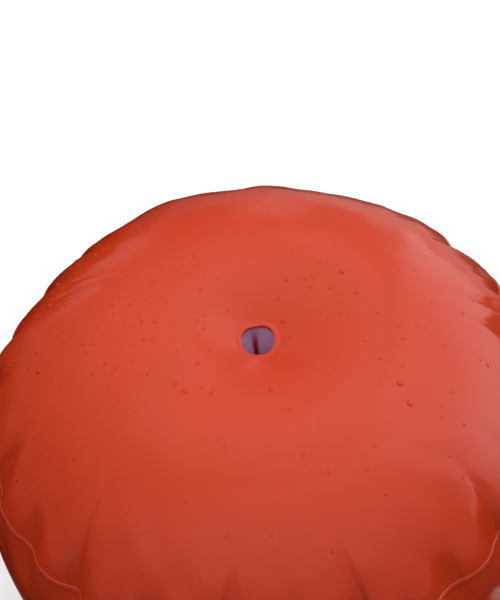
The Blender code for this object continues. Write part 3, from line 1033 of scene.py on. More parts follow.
def spun(name: str, profile: Path, steps: int) -> Object:
    """Draw a profile point by point and spin it about Z.

    Args:
        name: The object's name.
        profile: Its points (radius, height), both ends on the axis or one closed loop.
        steps: Steps round the axis.

    Returns:
        The turned object, faces outwards.
    """
    piece = primitive("plane", name, size=0.001)
    with editing(piece):
        bpy.ops.mesh.merge(type="CENTER")
        bpy.ops.transform.translate(value=(profile[0][0], 0, profile[0][1]))
        draw_along(profile, bpy.ops.mesh.extrude_vertices_move)
        bpy.ops.mesh.select_all(action="SELECT")
        bpy.ops.mesh.spin(steps=steps, angle=2 * math.pi, center=(0, 0, 0), axis=(0, 0, 1))
    return face_out(piece)


def flat_disc(name: str, radius: float, thickness: float, steps: int, rings: Stops) -> Object:
    """A flat disc lying on z = 0, worked in rings from its rim inwards.

    Args:
        name: The object's name.
        radius: Its radius.
        thickness: Its thickness.
        steps: Points round its rim.
        rings: For each inset ring, its width and how far it rises.

    Returns:
        The disc.
    """
    piece = primitive("circle", name, vertices=steps, radius=radius, fill_type="NGON")
    with editing(piece):
        bpy.ops.mesh.extrude_region_move(TRANSFORM_OT_translate={"value": (0, 0, thickness)})
        for width, rise in rings:
            bpy.ops.mesh.inset(thickness=width, depth=rise)
        bpy.ops.mesh.poke()
    return face_out(piece)


def swept_strip(name: str, path: Path, width: float, thickness: float, cells: int) -> Object:
    """Draw a strap along a path in the XZ plane, edge after edge.

    Args:
        name: The object's name.
        path: Points (x, z) of its middle line.
        width: Its width, along Y.
        thickness: Its thickness.
        cells: Cells across it.

    Returns:
        The strap, with a pattern (along, across) in metres.
    """
    piece = primitive("grid", name, x_subdivisions=1, y_subdivisions=cells, size=width)
    with editing(piece):
        bpy.ops.mesh.select_mode(type="VERT")
        model = bmesh.from_edit_mesh(piece.data)
        for point in model.verts:
            far = point.co.x > 0
            point.select_set(far)
            point.co.x, point.co.z = path[far]
        model.select_flush_mode()
        bmesh.update_edit_mesh(piece.data)
        draw_along(path[1:], bpy.ops.mesh.extrude_edges_move)
    stations = np.array(path)
    run = running(np.linalg.norm(np.diff(stations, axis=0), axis=1))
    layer = piece.data.uv_layers.active
    layer.name = "cut"
    for loop in piece.data.loops:
        point = piece.data.vertices[loop.vertex_index].co
        near = int(np.argmin(np.hypot(stations[:, 0] - point.x, stations[:, 1] - point.z)))
        layer.data[loop.index].uv = (run[near], point.y)
    apply_modifier(piece, "SOLIDIFY", thickness=thickness, offset=0.0)
    return piece


def twin_of(source: Object, place: Matrix) -> Object:
    """A copy of a piece, with its own mesh, moved to a place."""
    twin = source.copy()
    twin.data = source.data.copy()
    twin.matrix_world = place @ source.matrix_world
    bpy.context.scene.collection.objects.link(twin)
    return twin


def copies(pattern: Object, places: list[Matrix]) -> Object:
    """Copy one piece to many places, use it up and return the copies joined."""
    twins = [twin_of(pattern, place) for place in places]
    bpy.data.objects.remove(pattern)
    pick(twins[0])
    for twin in twins:
        twin.select_set(True)
    bpy.ops.object.join()
    settle(twins[0])
    return twins[0]


def wrap_on_band(piece: Object, profile: Profile, azimuth: float, gap: float) -> None:
    """Bend a flat piece over the band.

    Args:
        piece: The piece, its X along the band, Y up and Z outwards.
        profile: The float's plain shape.
        azimuth: Where its middle goes, in radians.
        gap: How far its underside lies off the skin.
    """
    for point in piece.data.vertices:
        across, up, out = point.co
        reach = float(profile.radius_at(up)) + gap + out
        turn = azimuth + across / profile.body_radius
        point.co = (reach * math.cos(turn), reach * math.sin(turn), MIDDLE + up)


# Mooring.


@dataclass
class Mooring:
    """Welded patches, stitched webbing and the steel rings that hang in it.

    Attributes:
        patch_rings: Width and rise of each ring that a patch is worked in, from its rim.
        wire: Radius of the ring's wire.
        drop: From the bar's middle to the middle of the bow.
        standoff: From the patch to the bar's middle.
        tail: Where the layers lie on the patch above the bar, from and to.
        stitch: Length, width and height of one stitch.
        stitch_margins: From the webbing's sides, foot and end to the box of stitches.
    """

    patch_radius: float = 0.0290
    patch_thickness: float = 0.0011
    patch_rings: Stops = (
        (0.0005, 0.00018), (0.0007, 0.00006), (0.0009, -0.00020), (0.0030, 0.0),
        (0.0008, 0.00022), (0.0035, 0.0), (0.005, 0.0), (0.005, 0.0), (0.005, 0.0))
    wire: float = 0.0020
    inner_width: float = 0.0260
    drop: float = 0.0230
    corner: float = 0.0050
    standoff: float = 0.0078
    webbing_width: float = 0.0200
    webbing_thickness: float = 0.0013
    clearance: float = 0.0004
    tail: tuple[float, float] = (0.0085, 0.0230)
    stitch: tuple[float, float, float] = (0.0021, 0.0006, 0.0005)
    stitch_margins: tuple[float, float, float] = (0.0026, 0.0038, 0.0022)
    gap: float = 0.0003

    @staticmethod
    def held_spots() -> dict[str, tuple[float, float]]:
        """Nodes that the skin lies flat under, each with the radii held and left free."""
        spots = {f"ring_patch_{number}": (0.031, 0.054) for number in (1, 2, 3, 4)}
        return {**spots, "valve_base": (0.022, 0.044)}

    def bar_place(self, number: int) -> Matrix:
        """Frame at the middle of a ring's bar: X outwards, Y across, Z up."""
        node = f"mooring_ring_{number}"
        spot = Matrix.Translation((*middle_of(node).xy, MIDDLE))
        return spot @ Matrix.Rotation(azimuth_of(node), 4, "Z")

    def layer_out(self, profile: Profile, height: float, layers: float) -> float:
        """How far from the bar's middle the webbing's layers reach out, at a height."""
        fall = float(profile.radius_at(height)) - profile.body_radius
        return fall - self.standoff + layers * self.webbing_thickness

    def webbing_path(self, profile: Profile) -> Path:
        """Middle line (out, up) of the webbing about the bar's middle."""
        eye = self.wire + self.clearance + 0.5 * self.webbing_thickness
        start, end = self.tail
        inner = [(self.layer_out(profile, height, 0.5) + self.gap, height)
                 for height in np.linspace(end, start, 8)]
        outer = [(self.layer_out(profile, height, 1.5) + 2 * self.gap, height)
                 for height in np.linspace(start + 2 * self.webbing_thickness, end, 8)]

        def touch(point: tuple[float, float], side: int) -> float:
            """Angle at which a line from a point touches the eye."""
            return math.atan2(point[1], point[0]) + side * math.acos(eye / math.hypot(*point))

        def between(first: tuple, last: tuple, shares: tuple[float, float]) -> Path:
            """Points on a straight run, at shares of it."""
            return [tuple(np.add(first, np.subtract(last, first) * share)) for share in shares]

        turns = np.linspace(touch(inner[-1], 1), touch(outer[0], -1) + 2 * math.pi, 20)
        arc = [(eye * math.cos(turn), eye * math.sin(turn)) for turn in turns]
        return [*inner, *between(inner[-1], arc[0], (0.35, 0.7)), *arc,
                *between(arc[-1], outer[0], (0.3, 0.65)), *outer]

    def build_patch(self, number: int, profile: Profile, finish: Material) -> None:
        """One round patch, welded down along its rim."""
        patch = flat_disc("patch", self.patch_radius, self.patch_thickness - self.gap, 72,
                          self.patch_rings)
        node = f"ring_patch_{number}"
        wrap_on_band(patch, profile, azimuth_of(node), self.gap)
        hand_in(patch, f"welded_patch_{number}", finish, node, 50.0)

    def stitching(self, profile: Profile) -> Object:
        """A box of stitches with a cross in it, on the webbing's outer layer."""
        length, width, height = self.stitch
        stitch = primitive("uv_sphere", "stitch", segments=8, ring_count=6, radius=0.5)
        bpy.ops.transform.resize(value=(height, length, width))
        settle(stitch)
        sides, foot, end = self.stitch_margins
        low, high = self.tail[0] + foot, self.tail[1] - end
        side = 0.5 * self.webbing_width - sides
        corners = [Vector(corner) for corner in
                   ((-side, low), (side, low), (side, high), (-side, high))]
        places = []
        for first, last in ((0, 1), (1, 2), (2, 3), (3, 0), (0, 2), (1, 3)):
            run = corners[last] - corners[first]
            count = max(1, round(run.length / (1.28 * length)))
            turn = Matrix.Rotation(math.atan2(run.y, run.x), 4, "X")
            for index in range(count):
                spot = corners[first] + run * ((index + 0.5) / count)
                out = self.layer_out(profile, spot.y, 2.0) + 2 * self.gap + 0.1 * height
                places.append(Matrix.Translation((out, spot.x, spot.y)) @ turn)
        return copies(stitch, places)

    def bend_ring(self) -> Object:
        """A D-shaped ring of round wire: a bar, two corners and a bow, closed by a weld."""
        half = 0.5 * self.inner_width + self.wire
        depth = max(self.drop - half, self.corner)
        ring = primitive("circle", "ring", vertices=20, radius=self.wire,
                         rotation=(0.5 * math.pi, 0, 0))
        settle(ring)
        straight, fall, quarter = half - self.corner, depth - self.corner, 0.5 * math.pi

        def run(across: float, up: float, count: int) -> None:
            """Draw the wire out straight in even steps."""
            step = {"value": (0, across / count, up / count)}
            for _ in range(count):
                bpy.ops.mesh.extrude_edges_move(TRANSFORM_OT_translate=step)

        def turn(across: float, up: float, angle: float, steps: int) -> None:
            """Bend the wire about a centre, across the bar."""
            bpy.ops.mesh.spin(steps=steps, angle=angle, center=(0, across, up), axis=(1, 0, 0))

        with editing(ring):
            run(straight, 0, 4)
            turn(straight, -self.corner, -quarter, 8)
            run(0, -fall, 3)
            turn(0, -depth, -math.pi, 32)
            run(0, fall, 3)
            turn(-straight, -self.corner, -quarter, 8)
            run(straight, 0, 4)
        return face_out(ring, 0.00002)

    def build(self, profile: Profile, patch: Material, webbing: Material, thread: Material,
              steel: Material) -> None:
        """Build all four moorings; strap, stitches and ring are made once and copied."""
        numbers = range(1, 5)
        for number in numbers:
            self.build_patch(number, profile, patch)
        strap = swept_strip("webbing", self.webbing_path(profile), self.webbing_width,
                            self.webbing_thickness, 12)
        round_edges(strap, 0.00035, 60)
        stitches = self.stitching(profile)
        for number in numbers:
            place = self.bar_place(number)
            hand_in(twin_of(strap, place), f"webbing_strap_{number}", webbing,
                    f"webbing_loop_{number}", 50.0)
            hand_in(twin_of(stitches, place), f"webbing_thread_{number}",
                    thread, smooth_angle=50.0)
        ring = self.bend_ring()
        for number in numbers:
            node = f"mooring_ring_{number}"
            hand_in(twin_of(ring, self.bar_place(number)), f"steel_ring_{number}",
                    steel, node, body=node)
        for pattern in (strap, stitches, ring):
            bpy.data.objects.remove(pattern)


# Valve.


@dataclass
class Valve:
    """Inflation valve: welded base, neck, ribbed screw cap and its leash.

    Attributes:
        base_rings: Width and rise of each ring that the base is worked in, from its rim.
        thread: Top of the plain foot, then the thread's start, pitch and depth.
        cap_height: Height of the cap's top above the base.
        leash_bow: How far the strap bows out past the cap.
    """

    base_radius: float = 0.0200
    base_thickness: float = 0.0014
    base_rings: Stops = ((0.0004, 0.00018), (0.0006, 0.00008), (0.0022, 0.0), (0.0006, -0.00020),
                         (0.0012, 0.0), (0.0006, 0.00020), (0.0020, 0.0), (0.004, 0.0))
    neck_radius: float = 0.0080
    neck_height: float = 0.0105
    neck_wall: float = 0.0026
    thread: tuple[float, float, float, float] = (0.0026, 0.0030, 0.0017, 0.0003)
    cap_radius: float = 0.0112
    cap_height: float = 0.0130
    rib_count: int = 18
    rib_depth: float = 0.0006
    stud_radius: float = 0.0026
    leash_width: float = 0.0042
    leash_thickness: float = 0.0011
    leash_bow: float = 0.0070
    gap: float = 0.0003

    def __post_init__(self) -> None:
        """Find where the valve sits from its neck: Z out of the band, X down."""
        self.azimuth = azimuth_of("valve_neck")
        across = abs(math.sin(self.azimuth)) * self.neck_radius
        reach = (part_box("valve_neck")[1].x - across) / math.cos(self.azimuth) - self.neck_height
        self.spot = (Matrix.Rotation(self.azimuth, 4, "Z")
                     @ Matrix.Translation((reach, 0.0, MIDDLE))
                     @ Matrix.Rotation(0.5 * math.pi, 4, "Y"))

    def build_base(self, profile: Profile, finish: Material) -> None:
        """The round base, welded to the band."""
        base = flat_disc("base", self.base_radius, self.base_thickness - self.gap, 64,
                         self.base_rings)
        wrap_on_band(base, profile, self.azimuth, self.gap)
        hand_in(base, "valve_flange", finish, "valve_base", 50.0)

    def build_neck(self, finish: Material) -> None:
        """The neck, a blind mouthpiece with a screw thread."""
        radius, bore, top = self.neck_radius, self.neck_radius - self.neck_wall, self.neck_height
        plain, start, pitch, depth = self.thread
        profile = [(0.0, self.gap), (radius, self.gap), (radius, plain)]
        for turn in range(4):
            foot = start + pitch * turn
            profile += [(radius - depth, foot), (radius - depth, foot + 0.0006),
                        (radius, foot + 0.0009), (radius, foot + 0.0013)]
        profile += [(radius - 0.0005, top), (bore, top), (bore, start), (0.0, start)]
        neck = spun("neck", profile, 48)
        neck.matrix_world = self.spot
        hand_in(neck, "valve_mouthpiece", finish, "valve_neck", 35.0)

    def build_cap(self, finish: Material) -> None:
        """The screw cap with its grip ribs and stud."""
        inner, outer, top = self.neck_radius + 0.0004, self.cap_radius, self.cap_height
        roof, stud = self.neck_height + self.gap, self.stud_radius
        foot = 2 * self.gap + self.leash_thickness
        head = top + foot
        profile = [(0.0, roof), (inner, roof), (inner, foot), (outer, foot),
                   (outer, foot + 0.0009), (outer, top - 0.0013), (outer - 0.0003, top - 0.0005),
                   (outer - 0.0010, top), (outer - 0.0022, top), (outer - 0.0026, top - 0.0004),
                   (stud + 0.0012, top - 0.0004), (stud + 0.0008, top), (stud, top),
                   (stud, head), (0.0040, head), (0.0040, head + 0.0005),
                   (0.0034, head + 0.0009), (0.0, head + 0.0010)]
        cap = spun("cap", profile, 4 * self.rib_count)

        def on_rib(face: bmesh.types.BMFace) -> bool:
            """Whether a face of the wall belongs to a rib."""
            centre = face.calc_center_median()
            turn = math.degrees(math.atan2(centre.y, centre.x)) % 360.0
            return (abs(face.normal.z) <= 0.1
                    and abs(centre.z - 0.5 * (foot + top)) <= 0.3 * (top - foot)
                    and math.hypot(centre.x, centre.y) >= 0.97 * outer
                    and int(turn / (90.0 / self.rib_count)) % 4 < 2)

        with editing(cap):
            bpy.ops.mesh.select_mode(type="FACE")
            model = bmesh.from_edit_mesh(cap.data)
            for face in model.faces:
                face.select_set(on_rib(face))
            model.select_flush_mode()
            bmesh.update_edit_mesh(cap.data)
            bpy.ops.mesh.extrude_region_shrink_fatten(
                TRANSFORM_OT_shrink_fatten={"value": self.rib_depth})
        round_edges(cap, 0.00018, 40)
        cap.matrix_world = self.spot
        hand_in(cap, "ribbed_cap", finish, "valve_cap", 35.0, "valve_cap")

    def leash_path(self, low: float, high: float) -> Path:
        """Middle line (down, out) of the strap from beside the neck to beside the stud."""
        side = self.cap_radius + self.rib_depth
        root = self.gap + 0.0012
        bow = [(side + self.leash_bow * math.cos(turn),
                0.5 * (low + high) + 0.5 * (high - low) * math.sin(turn))
               for turn in np.linspace(-0.5 * math.pi, 0.5 * math.pi, 17)[1:-1]]
        return [(self.neck_radius + root, low), (side - 0.0005, low), *bow, (side, high),
                (self.stud_radius + root, high)]

    def build_leash(self, finish: Material) -> None:
        """The strap that keeps the cap, bowed out past it."""
        half = 0.5 * self.leash_thickness
        path = self.leash_path(self.gap + half, self.cap_height + self.gap + half)
        strap = swept_strip("leash", path, self.leash_width, self.leash_thickness - 0.0002, 4)
        round_edges(strap, 0.0002, 60)
        strap.matrix_world = self.spot
        hand_in(strap, "cap_leash", finish, "valve_leash", 35.0)

    def build(self, profile: Profile, base: Material, cap: Material) -> None:
        """Build the whole valve."""
        self.build_base(profile, base)
        self.build_neck(base)
        self.build_cap(cap)
        self.build_leash(cap)


# Water.


@dataclass(frozen=True)
class Drop:
    """A drop on the upper face: azimuth in degrees, distance from the axis and radius."""

    azimuth: float
    reach: float
    size: float


@dataclass
class WaterBeads:
    """Drops of water that stand on the float.

    Attributes:
        placed: The largest drops: azimuth in degrees, distance from the axis and radius.
        flatness: A drop's height as a share of its radius.
        shoulder_flatness: The same on the shoulder.
        shoulder_reach: Where the shoulder starts, from the axis.
    """

    placed: tuple[tuple[float, float, float], ...] = (
        (-32, 0.097, 0.0024), (-37, 0.110, 0.0020), (34.5, 0.073, 0.0022), (18, 0.070, 0.0013),
        (32, 0.021, 0.0018), (-84, 0.046, 0.0021), (-15, 0.070, 0.0013), (60, 0.033, 0.0012),
        (2, 0.077, 0.0013), (-9, 0.020, 0.0011), (-139, 0.062, 0.0020), (-153, 0.042, 0.0018),
        (-132, 0.056, 0.0013), (180, 0.144, 0.0016), (-170, 0.105, 0.0017),
        (-172, 0.098, 0.0013), (158, 0.086, 0.0014), (176, 0.112, 0.0016), (179, 0.071, 0.0014),
        (30, 0.059, 0.0013), (61, 0.047, 0.0013), (-163, 0.031, 0.0012), (-146, 0.063, 0.0013),
        (131, 0.052, 0.0012), (-160, 0.074, 0.0012), (174, 0.039, 0.0011), (167, 0.075, 0.0012),
        (167, 0.067, 0.0012), (40, 0.049, 0.0012), (48, 0.069, 0.0010), (127, 0.030, 0.0011),
        (-24, 0.080, 0.0013), (15, 0.043, 0.0011), (48, 0.052, 0.0011), (7, 0.056, 0.0011),
        (135, 0.142, 0.0014), (137, 0.145, 0.0013), (132, 0.156, 0.0013), (141, 0.152, 0.0013),
        (142, 0.161, 0.0013), (145, 0.148, 0.0012), (148, 0.159, 0.0018), (148, 0.146, 0.0011),
        (151, 0.147, 0.0014), (157, 0.150, 0.0019), (157, 0.156, 0.0014), (159, 0.160, 0.0012),
        (160, 0.154, 0.0013), (173, 0.145, 0.0012), (169, 0.159, 0.0012), (172, 0.164, 0.0013),
        (176, 0.166, 0.0012),
    )
    seed: int = 23
    count: int = 300
    flatness: float = 0.30
    shoulder_flatness: float = 0.60
    shoulder_reach: float = 0.135

    def drops(self) -> list[Drop]:
        """The placed drops and the seeded ones."""
        draw = np.random.default_rng(self.seed)
        found = [Drop(*item) for item in self.placed]
        while len(found) < len(self.placed) + self.count:
            azimuth = draw.uniform(-180.0, 180.0)
            reach = 0.024 + 0.150 * math.sqrt(draw.uniform())
            size = 0.0006 + 0.0007 * draw.uniform() ** 1.6
            on_left = abs((azimuth - 165.0 + 180.0) % 360.0 - 180.0) < 50.0
            if draw.uniform() < (1.0 if on_left else 0.28):
                found.append(Drop(azimuth, reach, size))
        return found

    def build(self, skin: InflatedFloat, finish: Material) -> None:
        """Stand every drop on the finished skin as one piece."""
        drop = primitive("uv_sphere", "drop", segments=10, ring_count=6, radius=1.0)
        with editing(drop):
            bpy.ops.mesh.bisect(plane_co=(0, 0, -0.2), plane_no=(0, 0, 1), clear_inner=True,
                                use_fill=True)
        cut = drop.data.uv_layers.active
        cut.name = "cut"
        for loop in drop.data.loops:
            cut.data[loop.index].uv = drop.data.vertices[loop.vertex_index].co.xy
        draw = np.random.default_rng(self.seed + 1)
        places = []
        for index, item in enumerate(self.drops()):
            placed = index < len(self.placed)
            spot, normal = skin.place_on(item.azimuth, item.reach)
            turn = normal.to_track_quat("Z", "Y").to_matrix().to_4x4()
            long = 1.0 if placed else 1.0 + 1.1 * draw.uniform() ** 5
            steep = self.shoulder_flatness if item.reach > self.shoulder_reach else self.flatness
            tall = item.size * steep * draw.uniform(0.9 if placed else 0.45, 1.0)
            size = Matrix.Diagonal((item.size * long, item.size / math.sqrt(long), tall, 1.0))
            spin = Matrix.Rotation(draw.uniform(0.0, math.pi), 4, "Z")
            places.append(Matrix.Translation(spot) @ turn @ spin @ size)
        hand_in(copies(drop, places), "water_beads", finish, smooth_angle=80.0)


# Finishes.


class Effects:
    """The node groups that several finishes share."""

    def __init__(self) -> None:
        """Build each group once."""
        self.weave = self.build_weave()
        self.drift = self.build_drift()
        self.marks = self.build_marks()

    @staticmethod
    def build_weave() -> EffectGroup:
        """Plain weave: threads over and under each other, with a little unevenness."""
        group = EffectGroup("woven_threads", {"Place": None, "Pitch": 0.0014, "Wander": 0.0003},
                            "Height")
        tree, given = group.tree, group.given
        stray = tree.add("TexNoise", {"Vector": given["Place"], "Scale": 60.0,
                                      "Detail": 1.0}).outputs["Color"]
        stray = tree.vector("SUBTRACT", stray, (0.5, 0.5, 0.5))
        scaled = tree.add("VectorMath", {0: stray, "Scale": given["Wander"]}, operation="SCALE")
        parts = tree.add("SeparateXYZ", {0: tree.vector("ADD", given["Place"],
                                                        scaled.outputs["Vector"])}).outputs
        warp, weft = (tree.math("SINE", tree.math("DIVIDE", tree.times(parts[axis], math.pi),
                                                  given["Pitch"])) for axis in "XY")
        return group.give(tree.times(tree.times(warp, weft), 0.5, 0.5))

    @staticmethod
    def build_drift() -> EffectGroup:
        """Slow change over the surface, between 0 and 1."""
        group = EffectGroup("slow_drift", {"Place": None, "Scale": 12.0}, "Amount")
        tree, given = group.tree, group.given
        cloud = tree.noise(given["Place"], given["Scale"], 3.0, 0.55)
        return group.give(tree.span(cloud, 0.3, 0.7))

    @staticmethod
    def build_marks() -> EffectGroup:
        """Dried rims of old drops."""
        group = EffectGroup("dried_marks", {"Place": None, "Drops Scale": 90.0}, "Rims")
        tree, given = group.tree, group.given
        cells = tree.add("TexVoronoi", {"Vector": given["Place"],
                                        "Scale": given["Drops Scale"]}).outputs
        chance = tree.add("SeparateColor", {0: cells["Color"]}).outputs[0]
        size = tree.times(chance, 0.22, 0.04)
        rim = tree.math("ABSOLUTE", tree.math("SUBTRACT", cells["Distance"], size))
        some = tree.math("GREATER_THAN", chance, 0.62)
        return group.give(tree.times(tree.span(rim, 0.0, 0.035, 1.0, 0.0), some))


class Surface:
    """A material in the making: its tree, its Principled shader and its common sources."""

    def __init__(self, name: str, effects: Effects | None = None, drift: float = 1.0) -> None:
        """Start a material.

        Args:
            name: Its name.
            effects: The shared groups.
            drift: Scale per metre of its slow drift.
        """
        self.material = bpy.data.materials.new(name)
        self.material.use_nodes = True
        self.tree = Tree(self.material.node_tree)
        self.inputs = self.material.node_tree.nodes["Principled BSDF"].inputs
        self.place = self.tree.add("TexCoord").outputs["Object"]
        if effects is not None:
            self.drift = effects.drift.place(self.tree, place=self.place, scale=drift)

    @cached_property
    def cut(self) -> Socket:
        """Places on the flat-cut pattern, in metres."""
        return self.tree.add("UVMap", uv_map="cut").outputs[0]

    def dress(self, colour: Socket, roughness: object, height: Socket | None = None,
              strength: float = 1.0, plain: dict[str, object] | None = None) -> Material:
        """Join the shader's inputs up.

        Args:
            colour: The base colour.
            roughness: The roughness.
            height: Height of the relief in metres.
            strength: How strongly the relief shows.
            plain: Values that are the same all over, by the input's name.

        Returns:
            The material.
        """
        joined = {"Base Color": colour, "Roughness": roughness, **(plain or {})}
        if height is not None:
            joined["Normal"] = self.tree.add("Bump", {"Height": height, "Distance": 1.0,
                                                      "Strength": strength}).outputs[0]
        for name, value in joined.items():
            self.tree.feed(self.inputs[name], value)
        return self.material


@dataclass(frozen=True)
class CoatedSkin:
    """Orange-red coated cloth: a fine weave under a smooth wet gloss.

    Attributes:
        painted_shade_colour: Painted shade: its deeper red on the side that is turned from the
            light.
        painted_shade_way: The way that this painted-shade side faces.
        weave_height: How far the weave shows through.
        swell_height: Height of the coat's slow waves.
        rim_height: Height of the dried rims of drops.
    """

    name: str = "coated_skin"
    colour: Colour = (0.600, 0.0435, 0.0105)
    deep_colour: Colour = (0.570, 0.038, 0.0085)
    # Painted shade: the deeper red of the side turned from the light, and the way that side faces.
    painted_shade_colour: Colour = (0.590, 0.031, 0.0085)
    painted_shade_way: tuple[float, float, float] = (-0.87, 0.30, -0.40)
    roughness: float = 0.10
    weave_pitch: float = 0.0014
    weave_height: float = 0.000012
    swell_height: float = 0.00003
    rim_height: float = 0.000004

    def build(self, effects: Effects) -> Material:
        """Make the material."""
        coat = Surface(self.name, effects, 11.0)
        tree = coat.tree
        rims = effects.marks.place(tree, place=coat.place)
        weave = effects.weave.place(tree, place=coat.cut, pitch=self.weave_pitch)
        colour = tree.blend(tree.times(coat.drift, 0.6), self.colour, self.deep_colour)
        # Painted shade: the coat turns a deeper red on the side of the float turned from the
        # light.
        painted_shade = tree.span(tree.vector("DOT_PRODUCT", coat.place, self.painted_shade_way), 0.06, 0.14)
        rough = tree.times(rims, 0.05, tree.times(coat.drift, 0.05, self.roughness))
        height = tree.times(tree.noise(coat.place, 70.0), self.swell_height)
        height = tree.times(weave, self.weave_height, height)
        return coat.dress(tree.blend(painted_shade, colour, self.painted_shade_colour), rough,
                          tree.times(rims, self.rim_height, height))


@dataclass(frozen=True)
class WeldedCoat:
    """The same coated cloth where it is welded: beads, lips and patches.

    Attributes:
        press_pitch: From mark to mark of the welding tool.
        press_height: How deep the marks are.
        rib: Whether the marks are ribs across a bead, or a fine square mesh.
    """

    name: str
    colour: Colour = (0.590, 0.042, 0.010)
    roughness: float = 0.20
    press_pitch: float = 0.0016
    press_height: float = 0.00005
    rib: bool = True

    def build(self, effects: Effects) -> Material:
        """Make the material."""
        weld = Surface(self.name, effects, 24.0)
        tree = weld.tree
        if self.rib:
            turn = tree.times(tree.axis(weld.cut, "X"), 2 * math.pi / self.press_pitch)
            press = tree.times(tree.math("SINE", turn), 0.5, 0.5)
        else:
            press = effects.weave.place(tree, place=weld.place, pitch=self.press_pitch,
                                        wander=0.0)
        height = tree.times(tree.noise(weld.place, 160.0), 0.00004)
        return weld.dress(
            tree.blend(tree.times(weld.drift, 0.7), self.colour, shade(self.colour, 0.82)),
            tree.times(weld.drift, 0.08, self.roughness),
            tree.times(press, self.press_height, height))


@dataclass(frozen=True)
class TubeSkin:
    """Thin pale film of the bore, tinted by the coat behind it, with painted shade in its
    pinches and a painted shadow line just under each lip.

    Attributes:
        deep_colour: The colour of the painted shade deep in a pinch and of the painted shadow
            line.
        lip_shadow_height: Height above the middle of the painted shadow line under each lip.
    """

    name: str = "tube_film"
    colour: Colour = (0.68, 0.44, 0.62)
    deep_colour: Colour = (0.50, 0.030, 0.075)
    roughness: float = 0.30
    pinches: tuple[float, ...] = (102.0, 215.0, -28.0)
    radius: float = 0.0110
    # Height of the painted shadow line that each lip casts on the tube.
    lip_shadow_height: float = 0.1167

    def build(self, effects: Effects) -> Material:
        """Make the material."""
        film = Surface(self.name, effects, 70.0)
        tree = film.tree
        stray = tree.math("SUBTRACT", tree.noise(film.cut, 130.0), 0.5)
        around = tree.times(stray, 0.0016, tree.axis(film.cut, "X"))
        gaps = [tree.math("ABSOLUTE", tree.math(
            "SUBTRACT", around, math.radians(pinch % 360.0) * self.radius))
            for pinch in self.pinches]
        nearest = reduce(lambda one, other: tree.math("MINIMUM", one, other), gaps)
        height = tree.math("ABSOLUTE", tree.axis(film.cut, "Y"))
        # Painted shade in the pinches: full deep in the tube, faint near the mouths.
        pinched = tree.times(tree.span(nearest, 0.0009, 0.0034, 1.0, 0.0),
                             tree.span(height, 0.103, 0.1165, 1.0, 0.12))
        # Painted shadow: a dark line just under each lip, where the lip shades the tube.
        weld = tree.span(height, self.lip_shadow_height - 0.0005, self.lip_shadow_height + 0.0003, 0.0, 0.85)
        pale = tree.blend(tree.times(film.drift, 0.5), self.colour, shade(self.colour, 0.86))
        return film.dress(
            tree.blend(tree.math("MAXIMUM", pinched, weld), pale, self.deep_colour),
            tree.times(film.drift, 0.10, self.roughness),
            tree.times(tree.noise(film.place, 190.0, 3.0), 0.00012), 0.8)


@dataclass(frozen=True)
class Webbing:
    """Woven strap, or the thread that sews it.

    Attributes:
        pitch: From rib to rib.
        depth: How deep the ribs are.
    """

    name: str
    colour: Colour = (0.016, 0.016, 0.018)
    worn_colour: Colour = (0.0516, 0.0516, 0.0568)
    roughness: float = 0.78
    pitch: float = 0.0009
    depth: float = 0.00012

    def build(self, effects: Effects) -> Material:
        """Make the material."""
        strap = Surface(self.name, effects, 60.0)
        tree = strap.tree
        weave = effects.weave.place(tree, place=strap.cut, pitch=self.pitch, wander=0.0001)
        worn = tree.times(strap.drift, tree.times(weave, 0.5, 0.2))
        return strap.dress(tree.blend(worn, self.colour, self.worn_colour),
                           tree.times(weave, -0.12, self.roughness),
                           tree.times(weave, self.depth),
                           plain={"Sheen Weight": 0.25, "Sheen Roughness": 0.4})


@dataclass(frozen=True)
class BrushedSteel:
    """Bright stainless wire with fine drawn lines and dull spots."""

    name: str = "ring_steel"
    colour: Colour = (0.66, 0.67, 0.69)
    dull_colour: Colour = (0.42, 0.40, 0.37)
    roughness: float = 0.22

    def build(self, effects: Effects) -> Material:
        """Make the material."""
        steel = Surface(self.name, effects, 90.0)
        tree = steel.tree
        lines = tree.noise(tree.vector("MULTIPLY", steel.place, (4.0, 4.0, 1.0)), 900.0)
        spots = tree.span(tree.noise(steel.place, 420.0, 3.0), 0.60, 0.72)
        dull = tree.times(spots, tree.times(steel.drift, 0.6, 0.1))
        rough = tree.times(lines, 0.08, tree.times(dull, 0.25, self.roughness))
        return steel.dress(tree.blend(dull, self.colour, self.dull_colour), rough,
                           tree.times(lines, 0.000012), 0.8, {"Metallic": 1.0})


@dataclass(frozen=True)
class MouldedVinyl:
    """White moulded vinyl, a little yellowed, with a fine matt grain."""

    name: str
    colour: Colour = (0.78, 0.77, 0.73)
    grimy_colour: Colour = (0.62, 0.58, 0.50)
    roughness: float = 0.38
    grain_height: float = 0.00003

    def build(self, effects: Effects) -> Material:
        """Make the material."""
        vinyl = Surface(self.name, effects, 80.0)
        tree = vinyl.tree
        return vinyl.dress(
            tree.blend(tree.times(vinyl.drift, 0.35), self.colour, self.grimy_colour),
            tree.times(vinyl.drift, 0.12, self.roughness),
            tree.times(tree.noise(vinyl.place, 1400.0), self.grain_height), 0.6,
            {"Subsurface Weight": 0.08, "Subsurface Radius": (0.002, 0.0018, 0.0015)})


